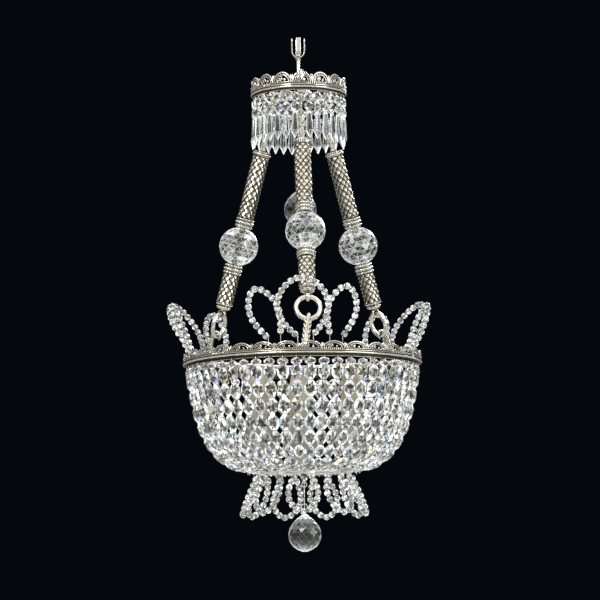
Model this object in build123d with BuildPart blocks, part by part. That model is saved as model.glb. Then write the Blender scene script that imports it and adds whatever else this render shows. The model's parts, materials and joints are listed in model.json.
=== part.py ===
from build123d import *
import math
import os

# Crystal basket chandelier, hung from a forked strap.
# Millimetres, +Z up.  The origin is the axis of the hanging pin, so every
# "drop" below is a distance down from that pin.  The front arm points to -Y.
# Repeated pieces are drawn once at azimuth 0 (towards +X) and turned about Z.

# --- counts ---------------------------------------------------------------
ARMS = 3
FRONT = -90.0                 # azimuth of the front arm, degrees
CROWN_SCROLLS = 15
RIM_SCROLLS = 32
PRISMS_PER_ARM = 10           # spear prisms between one arm and the next
STRANDS = 54                  # crystal strands of the basket
STRAND_ROWS = 8
FULL_ROWS = 6                 # rows that every strand has; the rest alternate
BOTTOM_LOOPS = 9

# --- hanging fork and stem --------------------------------------------------
PIN_BORE = 2.5                # radius of the pin holes in the fork
FORK_TOP = 4.0                # fork ends above the pin axis
FORK_RADIUS = 8.5             # outer radius of the bend
STRAP = 1.2                   # strap thickness
STRAP_WIDTH = 6.5
INNER_STRAP_WIDTH = 5.5
FORK_STRAIGHT = 13.0          # drop where the legs start to bend
BEND_STEPS = 6
STEM_RADIUS = 1.9
STEM_CLEAR = 0.1
NUT_RADIUS = 3.4
NUT_HEIGHT = 2.6
SEAT = 0.3                    # gap between pieces that rest on each other

# --- crown ------------------------------------------------------------------
CROWN_RADIUS = 61.5           # outside of the crown lip
CROWN_SCROLL_HEIGHT = 16.9    # of the scrolls above the lip
CROWN_LIP = 67.5              # drop of the lip's upper face
LIP_HEIGHT = 3.3
CROWN_OVERHANG = 3.5          # lip outside the plain hoop under it
SKIRT_WALL = 1.5
CROWN_SKIRT_HEIGHT = 5.2
GALLERY_WALL = 2.2
GALLERY_SET_BACK = 1.5        # scroll face behind the lip's edge
HOOP_SIDES = 48               # of the rim; the crown has half as many
HUB_RADIUS = 9.0
HUB_HEIGHT = 6.0
SPOKE_WIDTH = 10.0
SPOKE_THICK = 3.0
CROWN_CRYSTAL = 12.0          # height of one crystal with its links
CROWN_CRYSTAL_ROWS = 2
CRYSTAL_THICK = 6.0
PRISM_LENGTH = 36.0
PRISM_CLEAR = 0.6             # between neighbouring prisms at their widest
PRISM_THICK = 7.0
PRISM_BEVEL = 0.8             # sideways run of a bevel for each unit of thickness
PRISM_WIDEST = 26.0           # from the prism's top to its widest section
PRISM_SPAN = 17.3             # from one prism beside an arm to the other
PRISM_LEAN = 8.0              # those two lean out over the arm's collar

# --- arms ---------------------------------------------------------------------
ARM_TOP_INSET = 15.73         # middle of the top eye inside the crown's hoop
ARM_TOP_DROP = 35.25          # and below the crown's lip
RING_INSET = 27.15            # middle of the lower ring inside the rim's hoop
RING_RISE = 54.84             # and above the rim's lip
CORE = 3.5                    # tube through the whole arm
CORE_CLEAR = 0.25
NECK_RADIUS = 4.3
SLEEVE_RADIUS = 11.0
SLEEVE_GROOVE = 9.3
SLEEVE_RIBS = 8
COLLAR_RADIUS = 12.2
BALL_RADIUS = 25.0
BALL_HALF = 23.5
EYE_STATION = -161.0          # stations run down the arm from the ball's centre
EYE_SLACK = 0.8               # the eye's wire lies this far below its lug hole's middle
EYE_MID = 4.9
EYE_WIRE = 1.5
NECK_TOP = -155.2
SLEEVE_TOP = -118.0
SLEEVE_END = -36.0
END_COLLAR_LENGTH = 17.0
END_COLLAR_CLEAR = 5.75       # from the end collar to the top of the lower ring
END_COLLAR_RADIUS = 9.2
RING_MID = 14.75
RING_WIRE = 2.75
RING_SIDES = 10
LUG_THICK = 5.0
LUG_BAR = 2.0                 # metal between a lug's hole and its edge
EYE_LUG_BAR = 1.6
EYE_LUG_THICK = 3.0
HOOK_BAR = 5.0
HOOK_WIDTH = 6.0

# --- rim ------------------------------------------------------------------------
RIM_RADIUS = 150.7
RIM_SCROLL_HEIGHT = 11.5
RIM_LIP = 411.0
RIM_OVERHANG = 5.5
RIM_SKIRT_HEIGHT = 11.0

# --- basket ---------------------------------------------------------------------
CRYSTAL_WIDTH = 14.5
CRYSTAL_FILL = 0.94           # share of the space round a row that crystals fill
LINK_GAP = 0.3
BASKET_DEPTH = 121.0          # from the skirt's lower edge to the bottom ring
BOTTOM_RING = 59.5
BOTTOM_RING_WALL = 3.0
BOTTOM_RING_HEIGHT = 4.5

# --- bead loops -------------------------------------------------------------------
LARGE_BEAD = 10.0
SMALL_BEAD = 8.0
WIRE = 1.0
FAN_LEAN = 30.0
FAN_SIDE_LEAN = 19.0
FAN_FOOT_INSET = 5.0          # foot of the middle loop inside the lip's edge
FAN_SIDE_INSET = 6.4          # and of the side loops, which pass behind it
FAN_WIRE = 18.0               # bare wire between the lip and the first bead
FAN_SIDE_ANGLE = 15.0         # azimuth from the fan's middle to a side loop
FAN_SIDE_SPLAY = 13.0
MIDDLE_LOOP = (76.0, 30.0, 9.5)    # height, half width, half distance of the feet
SIDE_LOOP = (62.0, 16.0, 8.3)
HANGING_LOOP = (52.0, 18.0, 9.0)
HANGING_LEAN = 22.0
HANGING_WIRE = 5.0            # bare wire between the bottom ring and the first bead

# --- lamps ------------------------------------------------------------------------
BRIDGE_HUB = 16.0
BRIDGE_THICK = 3.0
BRIDGE_WIDTH = 14.0
LAMP_RADIUS = 68.0
HOLDER_RADIUS = 14.0
HOLDER_LENGTH = 55.0
BULB_RADIUS = 22.5
BULB_LENGTH = 60.0

# --- drops ------------------------------------------------------------------------
DROP_BALL_RADIUS = 20.5
DROP_BALL_HEIGHT = 48.7
CENTRE_BALL_TOP = 189.0
CENTRE_LINK_WIRE = 1.2
DROP_CRYSTAL = 12.0
DROP_CRYSTAL_WIDTH = 9.0
DROP_LINK_LENGTH = 51.0       # from the bottom spider to the ball's pivot
DROP_RING = 3.2               # small round link under the crystal
DROP_BOW = 3.8                # larger link above the ball
DROP_WIRE = 0.6

# --- worked out -------------------------------------------------------------------
CROWN_SKIRT = CROWN_RADIUS - CROWN_OVERHANG
CROWN_SKIRT_TOP = CROWN_LIP + LIP_HEIGHT
CROWN_SKIRT_END = CROWN_SKIRT_TOP + CROWN_SKIRT_HEIGHT
NET_RADIUS = CROWN_SKIRT - SKIRT_WALL / 2
PRISM_PIVOT = CROWN_SKIRT_END + CROWN_CRYSTAL_ROWS * CROWN_CRYSTAL + SEAT / 2
HUB_TOP = CROWN_SKIRT_TOP
RIM_SKIRT = RIM_RADIUS - RIM_OVERHANG
RIM_SKIRT_TOP = RIM_LIP + LIP_HEIGHT
RIM_SKIRT_END = RIM_SKIRT_TOP + RIM_SKIRT_HEIGHT
BOTTOM_DROP = RIM_SKIRT_END + BASKET_DEPTH
arm_top = Vector(CROWN_SKIRT - ARM_TOP_INSET, 0, -CROWN_LIP - ARM_TOP_DROP)
arm_run = Vector(RIM_SKIRT - RING_INSET, 0, -RIM_LIP + RING_RISE) - arm_top
SIN = arm_run.X / arm_run.length
COS = -arm_run.Z / arm_run.length
RING_STATION = EYE_STATION + arm_run.length
RING_TOP = RING_STATION - RING_MID
END_COLLAR_END = RING_TOP - END_COLLAR_CLEAR
LOWER_SLEEVE_END = END_COLLAR_END - END_COLLAR_LENGTH


def polar(radius, azimuth, height=0.0):
    """Point at a radius and azimuth from the axis."""
    turn = math.radians(azimuth)
    return Vector(radius * math.cos(turn), radius * math.sin(turn), height)


def arm_point(station, out=0.0):
    """Point on the arm's axis, or beside it by a distance outwards."""
    along = station - EYE_STATION
    return arm_top + Vector(along * SIN + out * COS, 0, out * SIN - along * COS)


def arm_plane(station):
    """Plane square to the arm, with its normal up the arm."""
    return Plane(origin=arm_point(station), x_dir=(0, 1, 0), z_dir=(-SIN, 0, COS))


def arm_side(station):
    """Radial plane through the arm: x outwards, y up the arm."""
    return Plane(origin=arm_point(station), x_dir=(COS, 0, SIN), z_dir=(0, -1, 0))


def arm_face(station):
    """Plane along the arm that faces outwards, for rings."""
    return Plane(origin=arm_point(station), x_dir=(0, 1, 0), z_dir=(COS, 0, SIN))


def corners(plane, radius, sides):
    """Corners of a regular polygon on a plane."""
    return [plane.from_local_coords(polar(radius, side * 360 / sides)) for side in range(sides)]


def faceted(sections):
    """Solid with flat facets between stacked sections that have as many corners."""
    sides = len(sections[0])
    faces = [Face(Wire.make_polygon(sections[0])), Face(Wire.make_polygon(sections[-1]))]
    for upper, lower in zip(sections, sections[1:]):
        for side in range(sides):
            after = (side + 1) % sides
            facet = [upper[side], upper[after], lower[after], lower[side]]
            faces.append(Face(Wire.make_polygon(facet)))
    with BuildPart() as piece:
        add(Solid(Shell(faces)))
    return piece.part


def turned(stations, sides, bore):
    """Part of an arm: polygon sections joined down the arm, with a bore."""
    with BuildPart() as piece:
        add(faceted([corners(arm_plane(station), radius, sides) for station, radius in stations]))
        with BuildSketch(arm_plane(stations[-1][0])):
            RegularPolygon(bore, 8)
        extrude(amount=stations[-1][0] - stations[0][0], mode=Mode.SUBTRACT)
    return piece.part


def ribbed(top, end):
    """Ribbed sleeve between two stations of the arm."""
    with BuildPart() as piece:
        with BuildSketch(arm_plane(end)):
            points = []
            for rib in range(2 * SLEEVE_RIBS):
                radius = SLEEVE_RADIUS if rib % 2 == 0 else SLEEVE_GROOVE
                corner = polar(radius, rib * 180 / SLEEVE_RIBS)
                points.append((corner.X, corner.Y))
            Polygon(*points, align=None)
            RegularPolygon(CORE + CORE_CLEAR, 8, mode=Mode.SUBTRACT)
        extrude(amount=end - top)
    return piece.part


def faceted_ring(plane, mid, wire, sides):
    """Closed ring of an eight-sided bar, lying in a plane."""
    with BuildPart() as piece:
        with BuildSketch(plane):
            RegularPolygon(mid + wire, sides)
            RegularPolygon(mid - wire, sides, mode=Mode.SUBTRACT)
        extrude(amount=wire, both=True)
        flats = [face for face in piece.faces() if abs(face.normal_at().dot(plane.z_dir)) > 0.9]
        chamfer([edge for face in flats for edge in face.edges()], length=0.58 * wire)
    return piece.part


def cut_crystal(width, height, thick):
    """Octagon crystal by its main facets: x is its width, z its height."""
    with BuildPart() as piece:
        with BuildSketch() as girdle:
            Polygon((width / 2, 0), (0, thick / 2), (-width / 2, 0), (0, -thick / 2), align=None)
        loft(
            [Vertex(0, 0, height / 2), girdle.sketch.faces()[0], Vertex(0, 0, -height / 2)],
            ruled=True,
        )
    return piece.part


def on_three_arms(piece):
    """The piece at azimuth 0 repeated on every arm."""
    with BuildPart() as group:
        with PolarLocations(0, ARMS, start_angle=FRONT):
            add(piece)
    return group


def save(part, name):
    """Label a finished piece and write it."""
    part.label = name
    export_step(part, f"parts/{name}.step")


os.makedirs("parts", exist_ok=True)

# --- hanging fork -------------------------------------------------------------
# Two bent straps cross at the stem; the outer one carries the pin holes.
INNER_FORK = FORK_RADIUS - STRAP - 2 * SEAT
FORK_BOTTOM = FORK_STRAIGHT + FORK_RADIUS


def strap_edge(radius):
    """Points down one leg, round the bend and up the other leg."""
    points = [(radius, FORK_TOP)]
    for step in range(BEND_STEPS + 1):
        corner = polar(radius, -180 * step / BEND_STEPS)
        points.append((corner.X, corner.Y - FORK_STRAIGHT))
    return points + [(-radius, FORK_TOP)]


def bent_strap(plane, outer, width):
    """Strap bent to a U below the pin, with the hole for the stem."""
    with BuildPart() as piece:
        with BuildSketch(plane):
            Polygon(*strap_edge(outer), *reversed(strap_edge(outer - STRAP)), align=None)
        extrude(amount=width / 2, both=True)
        with BuildSketch():
            RegularPolygon(STEM_RADIUS + STEM_CLEAR, 8)
        extrude(amount=-FORK_BOTTOM, mode=Mode.SUBTRACT)
    return piece.part


with BuildPart() as hanger_fork:
    add(bent_strap(Plane.XZ, FORK_RADIUS, STRAP_WIDTH))
    with BuildSketch(Plane.YZ):
        Circle(PIN_BORE)
    extrude(amount=FORK_RADIUS, both=True, mode=Mode.SUBTRACT)
    add(bent_strap(Plane.YZ, INNER_FORK, INNER_STRAP_WIDTH))
save(hanger_fork.part, "hanger_fork")

# The upper nut sits as deep in the bend as its corners allow.
fork_nut = FORK_STRAIGHT + math.sqrt((INNER_FORK - STRAP) ** 2 - NUT_RADIUS**2) - SEAT / 2
hub_nut = HUB_TOP + HUB_HEIGHT + NUT_HEIGHT
STEM_END = hub_nut + NUT_HEIGHT / 2
with BuildPart() as stem_rod:
    with BuildSketch(Plane.XY.offset(-STEM_END)):
        RegularPolygon(STEM_RADIUS, 8)
    extrude(amount=STEM_END - fork_nut + 1.5 * NUT_HEIGHT)
save(stem_rod.part, "stem_rod")

with BuildPart() as stem_nuts:
    for drop in (fork_nut, FORK_BOTTOM + SEAT / 2 + NUT_HEIGHT, hub_nut):
        with BuildSketch(Plane.XY.offset(-drop)):
            RegularPolygon(NUT_RADIUS, 6)
            RegularPolygon(STEM_RADIUS + STEM_CLEAR, 8, mode=Mode.SUBTRACT)
        extrude(amount=NUT_HEIGHT)
save(stem_nuts.part, "stem_nuts")


# --- pierced scroll galleries -----------------------------------------------------
def scroll_gallery(radius, base, height, count):
    """Ring of pierced scrolls: each has an arch, a volute and half a leaf a side."""
    half_angle = 180 / count
    half = radius * math.tan(math.radians(half_angle))
    foot = 0.2 * height
    rise = height - foot
    reach = 0.84 * half
    bar = 0.2 * height
    arch = []
    for turn in (22, 58, 90, 122, 158):
        corner = polar(1, turn)
        arch.append((reach * corner.X, foot + rise * corner.Y))
    inner = reach - bar
    opening = [
        (inner, foot),
        (0.72 * inner, foot + 0.72 * (rise - bar)),
        (0, foot + rise - bar),
        (-0.86 * inner, foot + 0.56 * (rise - bar)),
        (-0.05 * inner, foot + 0.42 * (rise - bar)),
        (-0.22 * inner, foot),
    ]
    with BuildPart() as module:
        with BuildSketch(Plane(origin=(radius, 0, -base), x_dir=(0, 1, 0), z_dir=(1, 0, 0))):
            Polygon(
                (-half, 0),
                (half, 0),
                (half, foot + 0.7 * rise),
                *arch,
                (-half, foot + 0.7 * rise),
                align=None,
            )
            Polygon(*opening, align=None, mode=Mode.SUBTRACT)
        extrude(amount=-GALLERY_WALL)
        for side in (-1, 1):
            edge = side * half_angle
            split(
                bisect_by=Plane(origin=(0, 0, 0), x_dir=(0, 0, 1), z_dir=polar(1, edge + side * 90)),
                keep=Keep.BOTTOM,
            )
    with BuildPart() as gallery:
        with PolarLocations(0, count, start_angle=FRONT):
            add(module.part)
    return gallery


crown_gallery = scroll_gallery(
    CROWN_RADIUS - GALLERY_SET_BACK, CROWN_LIP, CROWN_SCROLL_HEIGHT, CROWN_SCROLLS
)
save(crown_gallery.part, "crown_gallery")


def hoop(lip_radius, skirt_radius, lip_drop, end_drop, sides):
    """Turned lip with a plain skirt below it; a flat of the polygon faces each arm."""
    bore = skirt_radius - SKIRT_WALL
    skirt_drop = lip_drop + LIP_HEIGHT
    with BuildPart() as ring:
        for radius, top, bottom in (
            (lip_radius, lip_drop, skirt_drop),
            (skirt_radius, skirt_drop, end_drop),
        ):
            with BuildSketch(Plane.XY.offset(-bottom)):
                RegularPolygon(radius, sides, major_radius=False, rotation=FRONT + 180 / sides)
                RegularPolygon(
                    bore, sides, major_radius=False, rotation=FRONT + 180 / sides,
                    mode=Mode.SUBTRACT,
                )
            extrude(amount=bottom - top)
    return ring


crown_hoop = hoop(CROWN_RADIUS, CROWN_SKIRT, CROWN_LIP, CROWN_SKIRT_END, HOOP_SIDES // 2)
save(crown_hoop.part, "crown_hoop")

# Spider: hub on the stem, a spoke to the hoop and a lug for the eye of each arm.
EYE_HOLE = EYE_WIRE + EYE_SLACK + SEAT + 0.4
lug_hole = arm_point(EYE_STATION - EYE_MID - EYE_SLACK)
lug_half = EYE_HOLE + EYE_LUG_BAR
with BuildPart() as eye_lug:
    with BuildSketch(Plane(origin=lug_hole, x_dir=(1, 0, 0), z_dir=(0, -1, 0))):
        Polygon(
            (-lug_half, -HUB_TOP - SPOKE_THICK - lug_hole.Z),
            (lug_half, -HUB_TOP - SPOKE_THICK - lug_hole.Z),
            (lug_half, -1),
            (lug_half / 2, -lug_half - EYE_LUG_BAR / 2),
            (-lug_half / 2, -lug_half - EYE_LUG_BAR / 2),
            (-lug_half, -1),
            align=None,
        )
        RegularPolygon(EYE_HOLE, 8, mode=Mode.SUBTRACT)
    extrude(amount=EYE_LUG_THICK / 2, both=True)

with BuildPart() as crown_spider:
    with BuildSketch(Plane.XY.offset(-HUB_TOP - HUB_HEIGHT)):
        RegularPolygon(HUB_RADIUS, 12)
    extrude(amount=HUB_HEIGHT)
    with BuildSketch(Plane.XY.offset(-HUB_TOP - SPOKE_THICK - 1)):
        with PolarLocations((CROWN_SKIRT - SKIRT_WALL) / 2, ARMS, start_angle=FRONT):
            Rectangle(CROWN_SKIRT - SKIRT_WALL, SPOKE_WIDTH)
    extrude(amount=SPOKE_THICK)
    with PolarLocations(0, ARMS, start_angle=FRONT):
        add(eye_lug.part)
    with BuildSketch(Plane.XY.offset(-HUB_TOP)):
        RegularPolygon(STEM_RADIUS + STEM_CLEAR, 8)
    extrude(amount=-HUB_HEIGHT, mode=Mode.SUBTRACT)
save(crown_spider.part, "crown_spider")

# --- crown crystals and prisms ---------------------------------------------------
gap = math.degrees(2 * math.asin(PRISM_SPAN / 2 / NET_RADIUS))
spacing = (360 / ARMS - gap) / (PRISMS_PER_ARM - 1)
PRISM_WIDTH = 2 * NET_RADIUS * math.sin(math.radians(spacing / 2)) - PRISM_CLEAR
prism_places = []
for arm in range(ARMS):
    first = FRONT + arm * 360 / ARMS + gap / 2
    for number in range(PRISMS_PER_ARM):
        leaning = number in (0, PRISMS_PER_ARM - 1)
        prism_places.append((first + number * spacing, PRISM_LEAN if leaning else 0.0))

net_crystal = cut_crystal(PRISM_WIDTH, CROWN_CRYSTAL - LINK_GAP, CRYSTAL_THICK)
with BuildPart() as crown_crystals:
    for azimuth, _ in prism_places:
        for row in range(CROWN_CRYSTAL_ROWS):
            centre = polar(NET_RADIUS, azimuth, -CROWN_SKIRT_END - (row + 0.5) * CROWN_CRYSTAL)
            with Locations(Plane(origin=centre, x_dir=polar(1, azimuth + 90), z_dir=(0, 0, 1))):
                add(net_crystal)
save(crown_crystals.part, "crown_crystals")


def prism_section(height, width, thick):
    """Six corners, long side across the prism; every section's sides are parallel."""
    flat = width / 2 - PRISM_BEVEL * thick / 2
    return [
        Vector(0, width / 2, height),
        Vector(-thick / 2, flat, height),
        Vector(-thick / 2, -flat, height),
        Vector(0, -width / 2, height),
        Vector(thick / 2, -flat, height),
        Vector(thick / 2, flat, height),
    ]


PRISM_TOP = -SEAT / 2
spear = faceted([
    prism_section(PRISM_TOP, 0.45 * PRISM_WIDTH, 0.5 * PRISM_THICK),
    prism_section(PRISM_TOP - PRISM_WIDEST, PRISM_WIDTH, PRISM_THICK),
    prism_section(PRISM_TOP - PRISM_LENGTH, 0.1 * PRISM_WIDTH, 0.1 * PRISM_THICK),
])

for number, (azimuth, lean) in enumerate(prism_places, start=1):
    pivot = polar(NET_RADIUS, azimuth, -PRISM_PIVOT)
    place = Location(Plane(origin=pivot, x_dir=polar(1, azimuth), z_dir=(0, 0, 1)))
    with BuildPart() as crown_prism:
        with Locations(place * Location((0, 0, 0), (0, -lean, 0))):
            add(spear)
    save(crown_prism.part, f"crown_prism_{number:02d}")

# --- arms ---------------------------------------------------------------------
# Rod of one arm: top eye, ribbed neck, core and the lug for the lower ring.
LUG_HOLE = RING_WIRE + SEAT + 0.6
COLLAR_START = SLEEVE_TOP - 6.5
neck = []
for step in range(5):
    swell = NECK_RADIUS if step % 2 == 0 else 0.72 * NECK_RADIUS
    station = NECK_TOP + (COLLAR_START - SEAT - NECK_TOP) * step / 4
    neck.append(corners(arm_plane(station), swell, 8))
lug_top = RING_TOP - END_COLLAR_END - SEAT / 2
lug_end = LUG_HOLE + LUG_BAR
with BuildPart() as arm_rod:
    add(faceted_ring(arm_face(EYE_STATION), EYE_MID, EYE_WIRE, 10))
    add(faceted(neck))
    with BuildSketch(arm_plane(RING_TOP - LUG_HOLE)):
        RegularPolygon(CORE, 8)
    extrude(amount=RING_TOP - LUG_HOLE - COLLAR_START + SEAT)
    with BuildSketch(arm_side(RING_TOP)):
        with Locations((0, (lug_top - lug_end) / 2)):
            Rectangle(2 * lug_end, lug_top + lug_end)
        RegularPolygon(LUG_HOLE, 8, mode=Mode.SUBTRACT, major_radius=False, rotation=22.5)
    extrude(amount=LUG_THICK / 2, both=True)
save(on_three_arms(arm_rod.part).part, "arm_rods")

BORE = CORE + CORE_CLEAR
upper_collar = turned(
    [(COLLAR_START, 0.86 * COLLAR_RADIUS), (SLEEVE_TOP - 4, COLLAR_RADIUS),
     (SLEEVE_TOP, 0.88 * COLLAR_RADIUS)],
    8, BORE,
)
ball_cup = [
    (0, 0.95 * COLLAR_RADIUS),
    (8, COLLAR_RADIUS),
    (12.2, 0.7 * COLLAR_RADIUS),
]
cup_above = turned([(SLEEVE_END + step, radius) for step, radius in ball_cup], 8, BORE)
cup_below = turned([(-SLEEVE_END - step, radius) for step, radius in reversed(ball_cup)], 8, BORE)
with BuildPart() as arm_collars:
    with PolarLocations(0, ARMS, start_angle=FRONT):
        add([upper_collar, cup_above, cup_below])
save(arm_collars.part, "arm_collars")

with BuildPart() as arm_sleeves:
    with PolarLocations(0, ARMS, start_angle=FRONT):
        add([ribbed(SLEEVE_TOP, SLEEVE_END), ribbed(-SLEEVE_END, LOWER_SLEEVE_END)])
save(arm_sleeves.part, "arm_sleeves")

ball_sections = []
for latitude in (-70, -42, -14, 14, 42, 70):
    turn = math.radians(latitude)
    ball_sections.append((BALL_HALF * math.sin(turn) / math.sin(math.radians(70)),
                          BALL_RADIUS * math.cos(turn) / math.cos(math.radians(14))))
save(on_three_arms(turned(ball_sections, 10, BORE + 1.5)).part, "arm_balls")

end_collar = turned(
    [(LOWER_SLEEVE_END, SLEEVE_GROOVE), (LOWER_SLEEVE_END + 4, 0.8 * END_COLLAR_RADIUS),
     (LOWER_SLEEVE_END + 9, END_COLLAR_RADIUS), (END_COLLAR_END, 0.9 * END_COLLAR_RADIUS)],
    8, BORE,
)
save(on_three_arms(end_collar).part, "end_collars")

arm_ring = faceted_ring(arm_face(RING_STATION), RING_MID, RING_WIRE, RING_SIDES)
save(on_three_arms(arm_ring).part, "arm_rings")

# Hook of one arm: over the ring's lower wire and down to the skirt's inner face.
hook_seat = arm_side(RING_STATION + RING_MID)
hook_inner = RING_WIRE + SEAT + 1.0
skirt_face = RIM_SKIRT - SKIRT_WALL
inner_arc = []
outer_arc = []
for step in range(8):
    inner_arc.append(hook_seat.from_local_coords(polar(hook_inner, 30 * step)))
    outer_arc.append(hook_seat.from_local_coords(polar(hook_inner + HOOK_BAR, 30 * step)))
bend = RIM_SKIRT_TOP - 6
slope = SIN / COS
inner_bend = (inner_arc[0].X + slope * (inner_arc[0].Z + bend), -bend)
hook_outline = [(skirt_face, -RIM_SKIRT_END + 1), (skirt_face, -RIM_SKIRT_TOP + 2)]
hook_outline += [(point.X, point.Z) for point in outer_arc]
hook_outline += [(point.X, point.Z) for point in reversed(inner_arc)]
hook_outline += [
    inner_bend,
    (skirt_face - HOOK_BAR, -RIM_SKIRT_TOP - 3),
    (skirt_face - HOOK_BAR, -RIM_SKIRT_END + 1),
]
with BuildPart() as arm_hook:
    with BuildSketch(Plane.XZ):
        Polygon(*hook_outline, align=None)
    extrude(amount=HOOK_WIDTH / 2, both=True)
save(on_three_arms(arm_hook.part).part, "arm_hooks")

# --- rim ----------------------------------------------------------------------
rim_gallery = scroll_gallery(RIM_RADIUS - GALLERY_SET_BACK, RIM_LIP, RIM_SCROLL_HEIGHT, RIM_SCROLLS)
save(rim_gallery.part, "rim_gallery")

rim_hoop = hoop(RIM_RADIUS, RIM_SKIRT, RIM_LIP, RIM_SKIRT_END, HOOP_SIDES)
save(rim_hoop.part, "rim_hoop")

# --- crystal basket ---------------------------------------------------------------
# One strand hangs along this curve; each crystal is a chord of it.
strand_top = RIM_SKIRT - SKIRT_WALL / 2
strand_run = strand_top - BOTTOM_RING - SEAT
with BuildLine(Plane.XZ) as strand:
    Spline(
        (strand_top, -RIM_SKIRT_END - SEAT),
        (strand_top - 0.066 * strand_run, -RIM_SKIRT_END - 0.27 * BASKET_DEPTH),
        (strand_top - 0.194 * strand_run, -RIM_SKIRT_END - 0.6 * BASKET_DEPTH),
        (strand_top - 0.425 * strand_run, -RIM_SKIRT_END - 0.86 * BASKET_DEPTH),
        (strand_top - strand_run, -BOTTOM_DROP),
    )
strand_curve = strand.edges()[0]
joints = [strand_curve.position_at(row / STRAND_ROWS) for row in range(STRAND_ROWS + 1)]


def crystal_row(row):
    """One row of the basket: crystals on every strand, or on every other one."""
    top, end = joints[row], joints[row + 1]
    middle = (top + end) / 2
    count = STRANDS if row < FULL_ROWS else STRANDS // 2
    pitch = 2 * math.pi * middle.X / count
    width = min(CRYSTAL_WIDTH, CRYSTAL_FILL * pitch)
    crystal = cut_crystal(width, (top - end).length - LINK_GAP, CRYSTAL_THICK)
    placed = Plane(origin=middle, x_dir=(0, 1, 0), z_dir=top - end)
    with BuildPart() as single:
        with Locations(placed):
            add(crystal)
    with PolarLocations(0, count, start_angle=FRONT):
        add(single.part)


with BuildPart() as basket_wall:
    for row in range(FULL_ROWS):
        crystal_row(row)
save(basket_wall.part, "basket_wall")

with BuildPart() as basket_floor:
    for row in range(FULL_ROWS, STRAND_ROWS):
        crystal_row(row)
save(basket_floor.part, "basket_floor")

# Bottom ring, with the three bars that carry the drop below it.
RING_UNDER = BOTTOM_DROP + BOTTOM_RING_HEIGHT / 2
SPIDER_END = BOTTOM_DROP + BRIDGE_THICK / 2
with BuildPart() as bottom_ring:
    with BuildSketch(Plane.XY.offset(-RING_UNDER)):
        RegularPolygon(BOTTOM_RING, STRANDS // 2, rotation=FRONT)
        RegularPolygon(
            BOTTOM_RING - BOTTOM_RING_WALL, STRANDS // 2, rotation=FRONT, mode=Mode.SUBTRACT
        )
    extrude(amount=BOTTOM_RING_HEIGHT)
    with BuildSketch(Plane.XY.offset(-SPIDER_END)):
        RegularPolygon(6, 12)
        reach = BOTTOM_RING - BOTTOM_RING_WALL / 2
        with PolarLocations(reach / 2, ARMS, start_angle=FRONT):
            Rectangle(reach, 5)
    extrude(amount=BRIDGE_THICK)
save(bottom_ring.part, "bottom_ring")


# --- bead loops ---------------------------------------------------------------------
def loop_plane(radius, azimuth, height, rise, lean, splay):
    """Plane of a loop: y up (or down, by rise) and leaning outwards, then splayed along the rim."""
    out = polar(1, azimuth)
    along = polar(1, azimuth + 90)
    tilt = math.radians(lean)
    turn = math.radians(splay)
    leaning = Vector(0, 0, rise) * math.cos(tilt) + out * math.sin(tilt)
    y_dir = leaning * math.cos(turn) + along * math.sin(turn)
    x_dir = along * math.cos(turn) - leaning * math.sin(turn)
    return Plane(origin=polar(radius, azimuth, height), x_dir=x_dir, z_dir=x_dir.cross(y_dir))


def bare_wire(start, seat):
    """Square wire from the first bead of a loop to the height of its seat."""
    facing = 1 if seat > start.Z else -1
    foot = Plane(origin=(start.X, start.Y, start.Z + facing * SEAT), z_dir=(0, 0, facing))
    with BuildPart() as piece:
        with BuildSketch(foot):
            Rectangle(WIRE, WIRE)
        extrude(amount=abs(seat - start.Z) - 1.5 * SEAT)
    return piece.part


def bead_loop(plane, size, bead, seat):
    """String of beads along a drop-shaped loop, with a bare wire from each foot to the seat."""
    height, half, foot = size
    with BuildLine(plane) as path:
        Spline(
            (-foot, 0),
            (-0.8 * half, 0.23 * height),
            (-half, 0.62 * height),
            (0, height),
            (half, 0.62 * height),
            (0.8 * half, 0.23 * height),
            (foot, 0),
        )
    string = path.edges()[0]
    count = math.floor(string.length / bead)
    crystal = cut_crystal(bead, string.length / count - LINK_GAP, bead)
    with Locations(*string.locations([(number + 0.5) / count for number in range(count)])):
        add(crystal)
    for side in (-1, 1):
        add(bare_wire(plane.from_local_coords(Vector(side * foot, 0, 0)), seat))


FAN_LOOPS = (
    # side, size, bead, foot inset, lean
    (0, MIDDLE_LOOP, LARGE_BEAD, FAN_FOOT_INSET, FAN_LEAN),
    (-1, SIDE_LOOP, SMALL_BEAD, FAN_SIDE_INSET, FAN_SIDE_LEAN),
    (1, SIDE_LOOP, SMALL_BEAD, FAN_SIDE_INSET, FAN_SIDE_LEAN),
)
for number, name in enumerate(("fan_front", "fan_right", "fan_left")):
    azimuth = FRONT + number * 360 / ARMS
    with BuildPart() as fan:
        for side, size, bead, inset, lean in FAN_LOOPS:
            stand = loop_plane(
                RIM_RADIUS - inset, azimuth + side * FAN_SIDE_ANGLE, -RIM_LIP + FAN_WIRE, 1, lean,
                side * FAN_SIDE_SPLAY,
            )
            bead_loop(stand, size, bead, -RIM_LIP)
    save(fan.part, name)

with BuildPart() as bottom_loops:
    for number in range(BOTTOM_LOOPS):
        azimuth = FRONT + number * 360 / BOTTOM_LOOPS
        hung = loop_plane(
            BOTTOM_RING - BOTTOM_RING_WALL / 2, azimuth, -RING_UNDER - HANGING_WIRE, -1,
            HANGING_LEAN, 0,
        )
        bead_loop(hung, HANGING_LOOP, SMALL_BEAD, -RING_UNDER)
save(bottom_loops.part, "bottom_loops")

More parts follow.
